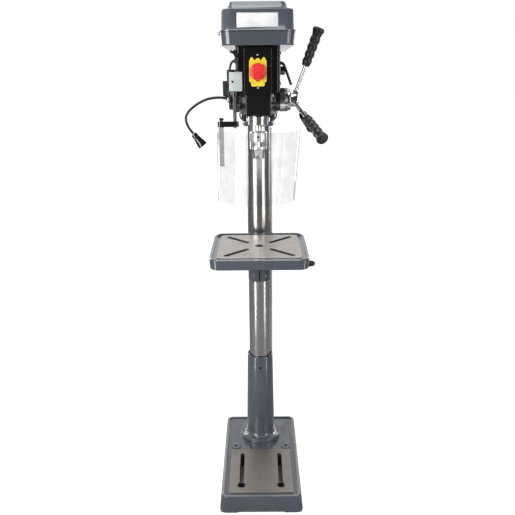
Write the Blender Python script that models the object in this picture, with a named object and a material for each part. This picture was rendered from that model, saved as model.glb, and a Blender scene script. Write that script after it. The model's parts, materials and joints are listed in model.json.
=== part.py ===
"""Floor-standing drill press, in metres. +Z is up, the column's axis is Z, and the user stands at -Y."""

import math

import bmesh
import bpy
from mathutils import Matrix, Vector

GAP = 0.0003  # between touching pieces
RUN = 0.0003  # radial clearance of a turning or sliding fit
FINE = 30  # sides of a large round piece
ROUND = 22  # of a medium one
SMALL = 12  # and of a small one

# Base
BASE_WIDTH = 0.275
BASE_DEPTH = 0.475
BASE_BACK = 0.115
BASE_HEIGHT = 0.058
BASE_DRAFT = 0.0065
BASE_CORNER = 0.022
BASE_WALL = 0.012
BASE_PLATE = 0.014
RIM_WIDTH = 0.008
RIM_DROP = 0.004
RIB = 0.008
FOOT_LIFT = 0.007
FOOT_LENGTH = 0.060
PAD_WIDTH = BASE_WIDTH - 0.062
PAD_FRONT = -0.333
PAD_BACK = -0.104
BASE_SLOT_X = 0.066
BASE_SLOT_WIDTH = 0.015
BASE_SLOT_FRONT = -0.303
BASE_SLOT_BACK = -0.128
KEYHOLE_RADIUS = 0.0135
ANCHOR_X = 0.092
ANCHOR_Y = -0.082
ANCHOR_BOSS = 0.017
ANCHOR_HOLE = 0.0055
FLOOR_BOSS = 0.022

# Column and its fittings
COLUMN_RADIUS = 0.038
COLUMN_WALL = 0.004
COLUMN_TOP = 1.400
FLANGE_RADIUS = COLUMN_RADIUS + 0.037
FLANGE_THICK = 0.016
SEAT_RADIUS = FLANGE_RADIUS + 0.004
NECK_FOOT = COLUMN_RADIUS + 0.0135
NECK_TOP = COLUMN_RADIUS + 0.0075
NECK_MOUTH = COLUMN_RADIUS + 0.0035
SOCKET_TOP = 0.400
MOUTH_DEPTH = 0.015
RACK_MODULE = 0.0025
RACK_WIDTH = 0.014
RACK_TIP = COLUMN_RADIUS + 0.007
RACK_TOP = 1.213
RACK_COLLAR_HEIGHT = 0.015
RACK_COLLAR_RADIUS = COLUMN_RADIUS + 0.014

# Table and its lift
TABLE_Y = -0.205
TABLE_WIDTH = 0.290
TABLE_TOP = 0.870
TABLE_EDGE = 0.032
TABLE_PLATE = 0.014
TABLE_CORNER = 0.030
TABLE_RIM = 0.009
GUTTER = 0.012
GUTTER_DEPTH = 0.006
TABLE_SLOT_WIDTH = 0.016
TABLE_SLOT_IN = 0.045
TABLE_SLOT_OUT = TABLE_WIDTH / 2
TABLE_HOLE = 0.0125
STEM_RADIUS = 0.0217
STEM_BOTTOM = 0.757
CLAMP_RADIUS = 0.0345
CLAMP_LOW = 0.762
CLAMP_HIGH = 0.834
COLLAR_RADIUS = COLUMN_RADIUS + 0.018
COLLAR_LOW = 0.735
COLLAR_HIGH = 0.835
TILT_Z = 0.790
TILT_RADIUS = 0.030
TILT_Y = -0.084
TILT_PLATE = 0.026
TILT_BOLT = 0.008
PINION_TEETH = 10
CRANK_Y = 0.005
CRANK_Z = 0.768
CRANK_SHAFT = 0.008
CRANK_X = 0.104
CRANK_ARM = 0.075
CRANK_ANGLE = math.radians(-40)
CRANK_KNOB_END = 0.200
CRANK_PIN = 0.004
LOCK_LEVER_X = -0.068
LOCK_SCREW = 0.0042
LOCK_LEAN = (-0.8, 0.25, -0.55)
PINION_SHAFT = 0.005
SLIT = 0.004

# Head
HEAD_TOP = 1.4427
HEAD_LOW = 1.262
HEAD_SEAM = 1.318
HEAD_WIDTH = 0.120
HEAD_REAR_WIDTH = 0.136
HEAD_FRONT = -0.240
NOSE_FRONT = -0.262
NOSE_WIDTH = 0.073
SLEEVE_RADIUS = COLUMN_RADIUS + 0.020
SLEEVE_LOW = 1.240
SPINDLE_Y = -0.205
QUILL_RADIUS = 0.029
QUILL_LOW = 1.231
QUILL_HIGH = 1.398
QUILL_RACK_PITCH = 0.02725
SPINDLE_RADIUS = 0.010
SPINDLE_TOP = 1.512
BEARING_RADIUS = 0.020
BEARING_HEIGHT = 0.014
FEED_Y = -0.165
FEED_Z = 1.299
FEED_SHAFT = 0.008
FEED_MODULE = 0.0015
FEED_TEETH = 17
BOSS_END = 0.0627
DEPTH_RING_RADIUS = 0.033
DEPTH_RING_END = 0.086
HUB_FLANGE = 0.030
HUB_RADIUS = 0.0195
HUB_END = 0.115
HANDLE_X = 0.101
HANDLE_LEAN = math.radians(20.5)
HANDLE_ROD = 0.005
HANDLE_LENGTH = 0.207
GRIP_LENGTH = 0.108
GRIP_WAIST = 0.011
GRIP_FLARE = 0.017
SPRING_CUP = 0.027
SPRING_CUP_END = 0.084
SPRING_SEAT = -0.0617

# Chuck
CHUCK_RADIUS = 0.0255
CHUCK_TOP = 1.214
CHUCK_LOW = 1.135
CHUCK_NOSE = 0.0175
CHUCK_CORE = 0.022
SLEEVE_HIGH = 1.189
SLEEVE_BOTTOM = 1.164
JAW_RADIUS = 0.0034
JAW_LEAN = math.radians(14)
JAW_OUT = 0.0075

# Switch
SWITCH_FRONT = -0.265
SWITCH_WIDTH = 0.075
SWITCH_TOP = 1.440
FLAP_WIDTH = 0.047
FLAP_LOW = 1.339
FLAP_TAB_WIDTH = 0.037
FLAP_TAB_HEIGHT = 0.011
FLAP_HIGH = 1.414
FLAP_THICK = 0.0075
STOP_Z = 1.377
STOP_RADIUS = 0.022
START_Z = 1.351
BUTTON_RADIUS = 0.0062
STEM_OF_STOP = 0.005

# Belt cover and drive
COVER_FRONT = -0.300
COVER_BACK = 0.235
COVER_WIDTH = 0.200
COVER_CORNER = 0.030
COVER_SEAM = 1.477
COVER_SHOULDER = 1.533
COVER_TOP = 1.552
SHEET = 0.002
PULLEY_LOW = 1.4525
STEP_HEIGHT = 0.0115
GROOVE = 0.006
SPINDLE_STEPS = (0.045, 0.055, 0.065, 0.075)
IDLER_STEPS = (0.062, 0.052, 0.042, 0.032)
MOTOR_STEPS = (0.032, 0.042, 0.052, 0.062)
FRONT_BELT_STEP = 1
REAR_BELT_STEP = 2
BELT_STEPS = 20  # along each arc
IDLER_Y = -0.030
MOTOR_Y = 0.150
MOTOR_RADIUS = 0.070
MOTOR_LOW = 1.262
MOTOR_HIGH = 1.418
FAN_LOW = 1.210
MOTOR_SHAFT = 0.008
MOTOR_TRAVEL = 0.009
PLATE_Y = 0.068
BAR_X = 0.054
BAR_Z = 1.380
BAR_RADIUS = 0.007
LEVER_Y = -0.060
LEVER_Z = 1.402
LEVER_SHAFT = 0.005
LEVER_ROD = 0.0042
LOCK_Y = -0.020
KNOB_STUD = 0.004
HINGE_X = -COVER_WIDTH / 2 - 0.006
HINGE_Z = COVER_SEAM + 0.0002
KNUCKLE_RADIUS = 0.004
KNUCKLE_LENGTH = 0.012
HINGE_PIN = 0.0016
HINGE_PLACES = (-0.190, 0.125)

# Guard and lamp
GUARD_Y = -0.253
GUARD_BOX = (0.036, 0.0245, 0.0505)
GUARD_BOX_X = -0.0605
GUARD_BOX_LOW = 1.3265
ROD_X = -0.065
ROD_RADIUS = 0.005
ARM_Z = 1.2385
STRIP_X = -0.103
STRIP_LOW = 1.123
STRIP_Y = -0.2680
STRIP_THICK = 0.003
SHIELD_HIGH = 1.217
SHIELD_LOW = 1.015
SHIELD_WALL = 0.0025
LAMP_Y = -0.120
LAMP_X = -0.1035
LAMP_LOW = 1.3085
LAMP_HIGH = 1.352
NECK_Z = 1.3035
NECK_RADIUS = 0.0033

PAINT = (0.098, 0.112, 0.137)
BLACK = (0.012, 0.012, 0.013)
STEEL = (0.56, 0.55, 0.53)
CHROME = (0.80, 0.80, 0.80)


def material(name, colour, roughness=0.4, metallic=0.0, alpha=1.0):
    made = bpy.data.materials.new(name)
    made.use_nodes = True
    shader = made.node_tree.nodes["Principled BSDF"]
    shader.inputs["Base Color"].default_value = (*colour, 1)
    shader.inputs["Roughness"].default_value = roughness
    shader.inputs["Metallic"].default_value = metallic
    shader.inputs["Alpha"].default_value = alpha
    made.diffuse_color = (*colour, alpha)
    return made


NEAR_TANGENT_CUTS = ("table_collar", "table_arm", "belt_pan")  # the exact solver leaves these open

LOOKS = {
    "paint": (PAINT, 0.30, 0.0),
    "black": (BLACK, 0.25, 0.0),
    "grip": ((0.02, 0.02, 0.019), 0.55, 0.0),
    "steel": (STEEL, 0.32, 1.0),
    "chrome": (CHROME, 0.12, 1.0),
    "pulley": ((0.62, 0.62, 0.62), 0.4, 1.0),
    "rubber": ((0.02, 0.02, 0.02), 0.8, 0.0),
    "yellow": ((0.95, 0.72, 0.04), 0.35, 0.0),
    "red": ((0.85, 0.03, 0.03), 0.35, 0.0),
    "green": ((0.03, 0.35, 0.08), 0.35, 0.0),
    "box": ((0.55, 0.58, 0.57), 0.5, 0.0),
    "clear": ((0.80, 0.86, 0.90), 0.08, 0.0, 0.25),
    "lens": ((0.95, 0.95, 0.88), 0.1, 0.0),
}


def at_axis(axis):
    """Turns the build's +Z onto axis, keeping +X where it can."""
    frames = {
        "X": Matrix(((0, 0, 1), (1, 0, 0), (0, 1, 0))),
        "Y": Matrix(((1, 0, 0), (0, 0, 1), (0, -1, 0))),
        "Z": Matrix.Identity(3),
    }
    if isinstance(axis, str):
        return frames[axis]
    return Vector((0, 0, 1)).rotation_difference(Vector(axis)).to_matrix()


def place(bm, axis, centre):
    turn = at_axis(axis).to_4x4()
    bmesh.ops.transform(bm, matrix=Matrix.Translation(centre) @ turn, verts=bm.verts)
    return bm


def loft(rings, closed=False):
    """A solid through rings of equally many points. A closed loft joins its last ring to its first."""
    bm = bmesh.new()
    rows = [[bm.verts.new(point) for point in ring] for ring in rings]
    count = len(rows[0])
    pairs = list(zip(rows, rows[1:] + rows[:1])) if closed else list(zip(rows, rows[1:]))
    for low, high in pairs:
        for i in range(count):
            j = (i + 1) % count
            bm.faces.new((low[i], low[j], high[j], high[i]))
    if not closed:
        bm.faces.new(rows[0][::-1])
        bm.faces.new(rows[-1])
    bmesh.ops.recalc_face_normals(bm, faces=bm.faces)
    return bm


def prism(outline, low, high, axis="Z"):
    """Outline is (x, y) for Z, (y, z) for X and (x, z) for Y."""
    to_space = {
        "Z": lambda u, v, w: (u, v, w),
        "X": lambda u, v, w: (w, u, v),
        "Y": lambda u, v, w: (u, w, v),
    }[axis]
    return loft([[to_space(u, v, w) for u, v in outline] for w in (low, high)])


def box(low, high):
    outline = [(low[0], low[1]), (high[0], low[1]), (high[0], high[1]), (low[0], high[1])]
    return prism(outline, low[2], high[2])


def lathe(profile, axis="Z", centre=(0, 0, 0), segments=ROUND):
    """Turns (radius, height) points about axis. A profile clear of the axis is closed into a ring."""
    bm = bmesh.new()
    points = [bm.verts.new((radius, 0, height)) for radius, height in profile]
    on_axis = profile[0][0] == 0 and profile[-1][0] == 0
    ends = points[1:] if on_axis else points[1:] + points[:1]
    edges = [bm.edges.new(pair) for pair in zip(points, ends)]
    bmesh.ops.spin(
        bm, geom=points + edges, cent=(0, 0, 0), axis=(0, 0, 1), angle=math.tau, steps=segments, use_merge=True
    )
    bmesh.ops.remove_doubles(bm, verts=bm.verts, dist=1e-6)
    bmesh.ops.recalc_face_normals(bm, faces=bm.faces)
    return place(bm, axis, centre)


def rod(radius, low, high, axis="Z", centre=(0, 0, 0), segments=ROUND, edge=0.0):
    """A cylinder from low to high along axis, with an optional chamfer."""
    profile = [(0, low), (radius - edge, low), (radius, low + edge), (radius, high - edge), (radius - edge, high)]
    if edge == 0:
        profile = [(0, low), (radius, low), (radius, high)]
    return lathe(profile + [(0, high)], axis, centre, segments)


def rounded(width, depth, corner, centre=(0, 0), steps=4):
    """A rectangle's outline with round corners."""
    points = []
    for quarter, (sx, sy) in enumerate(((1, 1), (-1, 1), (-1, -1), (1, -1))):
        cx = centre[0] + sx * (width / 2 - corner)
        cy = centre[1] + sy * (depth / 2 - corner)
        for step in range(steps + 1):
            angle = math.radians(90) * (quarter + step / steps)
            points.append((cx + corner * math.cos(angle), cy + corner * math.sin(angle)))
    return points


def level(outline, z):
    return [(x, y, z) for x, y in outline]


def part(name, bm, look, origin=(0, 0, 0)):
    """Makes bm the object called name, with its origin at origin."""
    bmesh.ops.translate(bm, verts=bm.verts, vec=-Vector(origin))
    mesh = bpy.data.meshes.new(name)
    bm.to_mesh(mesh)
    bm.free()
    obj = bpy.data.objects.new(name, mesh)
    obj.location = origin
    bpy.context.scene.collection.objects.link(obj)
    obj.data.materials.append(material(name, *LOOKS[look]))
    mesh.shade_smooth()
    mesh.set_sharp_from_angle(angle=math.radians(35))
    return obj


def combine(obj, operation, shapes):
    """Adds one Boolean to obj for each shape, and hides the shape's own object."""
    for shape in shapes:
        tool = part(f"{obj.name}_{operation.lower()}_{len(obj.modifiers)}", shape, "steel")
        tool.hide_render = True
        tool.display_type = "WIRE"
        modifier = obj.modifiers.new(tool.name, "BOOLEAN")
        modifier.operation = operation
        modifier.solver = "MANIFOLD" if obj.name in NEAR_TANGENT_CUTS else "EXACT"
        modifier.object = tool


def join(obj, *shapes):
    combine(obj, "UNION", shapes)


def cut(obj, *shapes):
    combine(obj, "DIFFERENCE", shapes)


def smooth_path(points, spacing):
    """Points about spacing apart along a smooth curve through the chosen ones."""
    chosen = [Vector(p) for p in points]
    chosen = [2 * chosen[0] - chosen[1], *chosen, 2 * chosen[-1] - chosen[-2]]
    path = []
    for before, start, end, after in zip(chosen, chosen[1:], chosen[2:], chosen[3:]):
        steps = max(1, round((end - start).length / spacing))
        for i in range(steps):
            t = i / steps
            path.append(
                0.5 * (2 * start + (end - before) * t + (2 * before - 5 * start + 4 * end - after) * t**2
                       + (3 * start - before - 3 * end + after) * t**3)
            )
    return [*path, chosen[-2]]


def cable(name, points, radius, look="rubber"):
    """A round lead along its route."""
    curve = bpy.data.curves.new(name, "CURVE")
    curve.dimensions = "3D"
    curve.bevel_depth = radius
    curve.bevel_resolution = 2
    curve.use_fill_caps = True
    route = smooth_path(points, 5 * radius)
    line = curve.splines.new("POLY")
    line.points.add(len(route) - 1)
    for point, place_of_point in zip(line.points, route):
        point.co = (*place_of_point, 1)
    obj = bpy.data.objects.new(name, curve)
    bpy.context.scene.collection.objects.link(obj)
    curve.materials.append(material(name, *LOOKS[look]))
    return obj


def gear(teeth, module, turn):
    """A spur gear's outline. turn is the angle of one tooth's middle, from the first axis to the second."""
    pitch_radius = teeth * module / 2
    shape = ((-0.29, -1.15), (-0.10, 0.90), (0.10, 0.90), (0.29, -1.15))
    outline = []
    for tooth in range(teeth):
        middle = turn + math.tau * tooth / teeth
        for along, out in shape:
            angle = middle + math.tau * along / teeth
            radius = pitch_radius + out * module
            outline.append((radius * math.cos(angle), radius * math.sin(angle)))
    return outline


def rack_teeth(module, pitch_line, start, count, sign=1):
    """A rack's toothed side as (distance, height) points, rising from start. Tooth 0's middle is at start."""
    pitch = math.pi * module
    shape = ((-0.36, -1.25), (-0.12, 1.0), (0.12, 1.0), (0.36, -1.25))
    return [
        (pitch_line + sign * out * module, start + (tooth + along) * pitch)
        for tooth in range(count)
        for along, out in shape
    ]


def tooth_turn(module, teeth, height, rack_start):
    """The turn that puts a gear tooth, facing its rack at 180 degrees, into the rack's nearest gap."""
    pitch = math.pi * module
    gaps = (height - rack_start) / pitch - 0.5
    offset = (gaps - round(gaps)) * pitch
    return math.pi + offset / (teeth * module / 2)


def moved(outline, centre):
    return [(u + centre[0], v + centre[1]) for u, v in outline]


def build_base():
    centre_y = BASE_BACK - BASE_DEPTH / 2
    top_width = BASE_WIDTH - 2 * BASE_DRAFT
    top_depth = BASE_DEPTH - 2 * BASE_DRAFT
    edge = 0.003

    def ring(inset, z):
        outline = rounded(
            BASE_WIDTH - 2 * inset, BASE_DEPTH - 2 * inset, BASE_CORNER - inset / 2, (0, centre_y)
        )
        return level(outline, z)

    base = part(
        "base_plate",
        loft([ring(0, 0), ring(BASE_DRAFT - 0.0005, BASE_HEIGHT - edge), ring(BASE_DRAFT + edge, BASE_HEIGHT)]),
        "paint",
    )
    inner = rounded(
        top_width - 2 * RIM_WIDTH - edge, top_depth - 2 * RIM_WIDTH - edge, BASE_CORNER / 2, (0, centre_y)
    )
    cut(base, prism(inner, BASE_HEIGHT - RIM_DROP, BASE_HEIGHT + 0.01))
    deep = BASE_HEIGHT - BASE_PLATE + 0.004
    pad = rounded(PAD_WIDTH, PAD_BACK - PAD_FRONT, 0.003, (0, (PAD_FRONT + PAD_BACK) / 2), 2)
    join(base, prism(pad, deep, BASE_HEIGHT), rod(SEAT_RADIUS, deep, BASE_HEIGHT, segments=FINE))
    for side in (-1, 1):
        join(base, rod(ANCHOR_BOSS, deep, BASE_HEIGHT, centre=(side * ANCHOR_X, ANCHOR_Y, 0)))

    rows = 4
    inside = (BASE_WIDTH / 2 - BASE_DRAFT - BASE_WALL, BASE_DEPTH - 2 * BASE_DRAFT - 2 * BASE_WALL)
    first = centre_y - inside[1] / 2
    pocket = (inside[1] - (rows - 1) * RIB) / rows
    for side in (-1, 1):
        for row in range(rows):
            low = first + row * (pocket + RIB)
            xs = sorted((side * RIB / 2, side * inside[0]))
            cut(base, box((xs[0], low, -0.01), (xs[1], low + pocket, BASE_HEIGHT - BASE_PLATE)))
    join(base, rod(FLOOR_BOSS, 0, deep, segments=SMALL))
    half_width = BASE_WIDTH / 2 - FOOT_LENGTH
    half_depth = BASE_DEPTH / 2 - FOOT_LENGTH
    reach = 0.02
    for side in (-1, 1):
        front = sorted(centre_y + side * far for far in (BASE_DEPTH / 2 + reach, inside[1] / 2 - 0.001))
        cut(base, box((-half_width, front[0], -0.01), (half_width, front[1], FOOT_LIFT)))
        flank = sorted((side * (BASE_WIDTH / 2 + reach), side * (inside[0] - 0.001)))
        cut(base, box((flank[0], centre_y - half_depth, -0.01), (flank[1], centre_y + half_depth, FOOT_LIFT)))
        slot = rounded(
            BASE_SLOT_WIDTH,
            BASE_SLOT_BACK - BASE_SLOT_FRONT,
            BASE_SLOT_WIDTH / 2 - 1e-5,
            (side * BASE_SLOT_X, (BASE_SLOT_FRONT + BASE_SLOT_BACK) / 2),
        )
        keyhole = (side * BASE_SLOT_X, BASE_SLOT_FRONT + KEYHOLE_RADIUS / 2, 0)
        anchor = (side * ANCHOR_X, ANCHOR_Y, 0)
        cut(base, prism(slot, deep - 0.03, BASE_HEIGHT + 0.01))
        cut(base, rod(KEYHOLE_RADIUS, deep - 0.03, BASE_HEIGHT + 0.01, centre=keyhole, segments=SMALL))
        cut(base, rod(ANCHOR_HOLE, deep - 0.03, BASE_HEIGHT + 0.01, centre=anchor, segments=SMALL))


def build_column():
    low = BASE_HEIGHT + GAP
    flange_top = low + FLANGE_THICK
    bore = COLUMN_RADIUS + RUN
    fillet = 0.012
    steps = 4
    curve = []
    for step in range(steps + 1):
        angle = math.radians(90) * step / steps
        out = fillet * (1 - math.sin(angle))
        curve.append((NECK_FOOT + out, flange_top + fillet * (1 - math.cos(angle))))
    profile = [
        (bore, low),
        (FLANGE_RADIUS, low),
        (FLANGE_RADIUS, flange_top - 0.003),
        (FLANGE_RADIUS - 0.003, flange_top),
        *curve,
        (NECK_TOP, SOCKET_TOP - 0.003),
        (NECK_TOP - 0.0015, SOCKET_TOP),
        (NECK_MOUTH, SOCKET_TOP),
        (NECK_MOUTH, SOCKET_TOP - MOUTH_DEPTH),
        (bore, SOCKET_TOP - MOUTH_DEPTH),
    ]
    part("column_socket", lathe(profile, segments=FINE), "paint")
    inner = COLUMN_RADIUS - COLUMN_WALL
    tube = [(inner, low), (COLUMN_RADIUS, low), (COLUMN_RADIUS, COLUMN_TOP), (inner, COLUMN_TOP)]
    part("column", lathe(tube, segments=FINE), "steel")
    collar = [
        (bore, RACK_TOP),
        (RACK_COLLAR_RADIUS - 0.001, RACK_TOP),
        (RACK_COLLAR_RADIUS, RACK_TOP + 0.001),
        (RACK_COLLAR_RADIUS, RACK_TOP + RACK_COLLAR_HEIGHT - 0.001),
        (RACK_COLLAR_RADIUS - 0.001, RACK_TOP + RACK_COLLAR_HEIGHT),
        (bore, RACK_TOP + RACK_COLLAR_HEIGHT),
    ]
    part("rack_collar", lathe(collar, segments=FINE), "paint")


def build_rack():
    pitch = math.pi * RACK_MODULE
    low = SOCKET_TOP + GAP
    high = RACK_TOP - GAP
    start = low + pitch
    count = int((high - start) / pitch)
    back = COLUMN_RADIUS + RUN
    teeth = rack_teeth(RACK_MODULE, RACK_TIP - RACK_MODULE, start, count)
    root = teeth[0][0]
    outline = [(back, low), (root, low), *teeth, (root, high), (back, high)]
    part("rack", prism(outline, -RACK_WIDTH / 2, RACK_WIDTH / 2, "Y"), "steel")
    return start


def build_table_lift(rack_start):
    bore = COLUMN_RADIUS + RUN + GAP
    edge = 0.002
    blank = bore - 0.002
    ring = [
        (blank, COLLAR_LOW),
        (COLLAR_RADIUS - edge, COLLAR_LOW),
        (COLLAR_RADIUS, COLLAR_LOW + edge),
        (COLLAR_RADIUS, COLLAR_HIGH - edge),
        (COLLAR_RADIUS - edge, COLLAR_HIGH),
        (blank, COLLAR_HIGH),
    ]
    pitch_radius = PINION_TEETH * RACK_MODULE / 2
    pinion_x = RACK_TIP - RACK_MODULE + pitch_radius
    pinion_z = CRANK_Z + pitch_radius + RACK_MODULE + CRANK_SHAFT + 0.0015
    half_gear = 0.0065
    collar = part("table_collar", lathe(ring, segments=FINE), "paint")
    housing = (pinion_x + pitch_radius + 0.016, 0.027)
    join(
        collar,
        box((0.048, CRANK_Y - housing[1], CRANK_Z - 0.016), (housing[0], CRANK_Y + housing[1], pinion_z + 0.019)),
        rod(TILT_RADIUS, TILT_Y, TILT_Y + 0.036, "Y", (0, 0, TILT_Z)),
        box((-0.078, -0.012, COLLAR_LOW + 0.015), (-0.050, 0.012, COLLAR_HIGH - 0.015)),
    )
    cavity = pitch_radius + RACK_MODULE + 0.001
    cut(
        collar,
        rod(bore, COLLAR_LOW - 0.01, COLLAR_HIGH + 0.01, segments=FINE),
        box(
            (0.030, -RACK_WIDTH / 2 - RUN, COLLAR_LOW - 0.01),
            (RACK_TIP + 0.001, RACK_WIDTH / 2 + RUN, COLLAR_HIGH + 0.01),
        ),
        rod(cavity, -half_gear - 0.001, half_gear + 0.001, "Y", (pinion_x, 0, pinion_z), SMALL),
        rod(PINION_SHAFT + RUN, -0.019, 0.019, "Y", (pinion_x, 0, pinion_z), SMALL),
        rod(CRANK_SHAFT + RUN, 0.0475, 0.12, "X", (0, CRANK_Y, CRANK_Z), SMALL),
        box((-0.090, -SLIT / 2, COLLAR_LOW - 0.01), (-0.030, SLIT / 2, COLLAR_HIGH + 0.01)),
        rod(LOCK_SCREW + RUN, -0.03, 0.03, "Y", (LOCK_LEVER_X, 0, TILT_Z), 16),
        rod(TILT_BOLT + RUN, TILT_Y - 0.01, TILT_Y + 0.026, "Y", (0, 0, TILT_Z), SMALL),
    )
    turn = tooth_turn(RACK_MODULE, PINION_TEETH, pinion_z, rack_start)
    outline = moved(gear(PINION_TEETH, RACK_MODULE, turn), (pinion_x, pinion_z))
    pinion = part(
        "lift_pinion", prism(outline, -half_gear, half_gear, "Y"), "steel", (pinion_x, 0, pinion_z)
    )
    join(pinion, rod(PINION_SHAFT, -0.018, 0.018, "Y", (pinion_x, 0, pinion_z), SMALL))

    tip = Vector((0, math.cos(CRANK_ANGLE), math.sin(CRANK_ANGLE))) * CRANK_ARM + Vector((0, CRANK_Y, CRANK_Z))
    crank = part(
        "crank", rod(CRANK_SHAFT, 0.048, CRANK_X + 0.012, "X", (0, CRANK_Y, CRANK_Z), SMALL), "black",
        (CRANK_X, CRANK_Y, CRANK_Z),
    )
    arm = prism(rounded(CRANK_ARM + 0.022, 0.018, 0.0088, (CRANK_ARM / 2, 0), 5), -0.005, 0.005)
    arm_turn = Matrix.Rotation(CRANK_ANGLE, 4, "X")
    upright = Matrix(((0, 0, 1, 0), (1, 0, 0, 0), (0, 1, 0, 0), (0, 0, 0, 1)))
    shift = Matrix.Translation((CRANK_X + 0.001, CRANK_Y, CRANK_Z))
    bmesh.ops.transform(arm, matrix=shift @ arm_turn @ upright, verts=arm.verts)
    join(crank, arm, rod(CRANK_PIN, CRANK_X, CRANK_KNOB_END - 0.006, "X", (0, tip.y, tip.z), SMALL))
    handle_low = CRANK_X + 0.007
    knob = [
        (0, handle_low),
        (0.0075, handle_low),
        (0.0095, handle_low + 0.010),
        (0.0115, CRANK_KNOB_END - 0.030),
        (0.0105, CRANK_KNOB_END - 0.010),
        (0.0070, CRANK_KNOB_END - 0.003),
        (0.0, CRANK_KNOB_END),
    ]
    bore_end = CRANK_KNOB_END - 0.0055
    handle = part(
        "crank_handle",
        lathe(knob, "X", (0, tip.y, tip.z), SMALL), "grip", (CRANK_X, tip.y, tip.z),
    )
    cut(handle, rod(CRANK_PIN + RUN, handle_low - 0.01, bore_end, "X", (0, tip.y, tip.z), SMALL))

    lever = part(
        "collar_lock_lever",
        rod(LOCK_SCREW, -0.016, 0.030, "Y", (LOCK_LEVER_X, 0, TILT_Z), 16), "black", (LOCK_LEVER_X, 0, TILT_Z),
    )
    join(
        lever,
        rod(0.009, 0.0125, 0.026, "Y", (LOCK_LEVER_X, 0, TILT_Z), SMALL),
        rod(0.008, -0.0185, -0.0125, "Y", (LOCK_LEVER_X, 0, TILT_Z), 6),
        rod(0.005, 0.004, 0.062, LOCK_LEAN, (LOCK_LEVER_X, 0.019, TILT_Z), 16),
        rod(0.010, 0.060, 0.082, LOCK_LEAN, (LOCK_LEVER_X, 0.019, TILT_Z), 20, 0.004),
    )


def build_table():
    tilt_face = TILT_Y - GAP
    front_face = tilt_face - TILT_PLATE
    arm = part(
        "table_arm",
        rod(TILT_RADIUS, front_face, tilt_face, "Y", (0, 0, TILT_Z)),
        "paint",
        (0, tilt_face, TILT_Z),
    )
    slit_reach = 0.024
    join(
        arm,
        box((-0.016, TABLE_Y + STEM_RADIUS + 0.004, TILT_Z - 0.020), (0.016, front_face + 0.004, TILT_Z + 0.021)),
        rod(CLAMP_RADIUS, CLAMP_LOW, CLAMP_HIGH, centre=(0, TABLE_Y, 0)),
        box(
            (-0.016, TABLE_Y - CLAMP_RADIUS - slit_reach, TILT_Z - 0.018),
            (0.016, TABLE_Y - CLAMP_RADIUS + 0.006, TILT_Z + 0.018),
        ),
    )
    cut(
        arm,
        rod(STEM_RADIUS + RUN, CLAMP_LOW - 0.01, CLAMP_HIGH + 0.01, centre=(0, TABLE_Y, 0)),
        box(
            (-SLIT / 2, TABLE_Y - CLAMP_RADIUS - 2 * slit_reach, CLAMP_LOW - 0.01),
            (SLIT / 2, TABLE_Y - 0.01, CLAMP_HIGH + 0.01),
        ),
        rod(TILT_BOLT + RUN, front_face - 0.002, tilt_face + 0.01, "Y", (0, 0, TILT_Z), SMALL),
        box((-0.0165, front_face - 0.024, TILT_Z - 0.0125), (0.0165, front_face - 0.001, TILT_Z + 0.0125)),
    )
    bolt = part(
        "tilt_bolt", rod(TILT_BOLT, front_face - 0.002, TILT_Y + 0.024, "Y", (0, 0, TILT_Z), SMALL), "steel",
        (0, tilt_face, TILT_Z),
    )
    join(bolt, rod(0.0115, front_face - 0.0105, front_face - 0.0013, "Y", (0, 0, TILT_Z), 6))

    half = TABLE_WIDTH / 2
    low = TABLE_TOP - TABLE_EDGE
    edge = 0.003

    def ring(inset, z):
        side = 2 * (half - inset)
        return level(rounded(side, side, TABLE_CORNER - inset / 2, (0, TABLE_Y), 5), z)

    table = part(
        "table",
        loft([ring(0.002, low), ring(0.0, TABLE_TOP - edge), ring(edge, TABLE_TOP)]),
        "paint",
        (0, TABLE_Y, TABLE_TOP),
    )
    inner = half - TABLE_RIM - GUTTER
    rib = 0.010
    pocket_side = half - 0.014 - rib / 2
    for sx in (-1, 1):
        for sy in (-1, 1):
            middle = (sx * (rib / 2 + pocket_side / 2), TABLE_Y + sy * (rib / 2 + pocket_side / 2))
            outline = rounded(pocket_side, pocket_side, 0.012, middle, 3)
            cut(table, prism(outline, low - 0.01, TABLE_TOP - TABLE_PLATE))
    join(
        table,
        rod(CLAMP_RADIUS, low, TABLE_TOP - 0.008, centre=(0, TABLE_Y, 0)),
        rod(STEM_RADIUS, STEM_BOTTOM, TABLE_TOP - 0.009, centre=(0, TABLE_Y, 0)),
    )
    outer_outline = rounded(2 * (half - TABLE_RIM), 2 * (half - TABLE_RIM), TABLE_CORNER - 0.006, (0, TABLE_Y), 5)
    inner_outline = rounded(2 * inner, 2 * inner, TABLE_CORNER - 0.014, (0, TABLE_Y), 5)
    floor = TABLE_TOP - GUTTER_DEPTH
    gutter = loft(
        [
            level(outer_outline, floor),
            level(outer_outline, TABLE_TOP + 0.01),
            level(inner_outline, TABLE_TOP + 0.01),
            level(inner_outline, floor),
        ],
        closed=True,
    )
    top_cut = 0.0015
    plateau = prism(
        rounded(2 * (inner + 0.004), 2 * (inner + 0.004), TABLE_CORNER - 0.012, (0, TABLE_Y), 5),
        TABLE_TOP - top_cut, TABLE_TOP + 0.01,
    )
    cut(table, gutter, plateau, rod(TABLE_HOLE, STEM_BOTTOM - 0.01, TABLE_TOP + 0.01, centre=(0, TABLE_Y, 0)))
    length = TABLE_SLOT_OUT - TABLE_SLOT_IN
    middle = (TABLE_SLOT_OUT + TABLE_SLOT_IN) / 2
    for quarter in range(4):
        slot = prism(
            rounded(length, TABLE_SLOT_WIDTH, TABLE_SLOT_WIDTH / 2 - 1e-5, (middle, 0), 5),
            low - 0.01,
            TABLE_TOP + 0.01,
        )
        turn = Matrix.Rotation(math.radians(45 + 90 * quarter), 4, "Z")
        bmesh.ops.transform(slot, matrix=Matrix.Translation((0, TABLE_Y, 0)) @ turn, verts=slot.verts)
        cut(table, slot)


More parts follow.
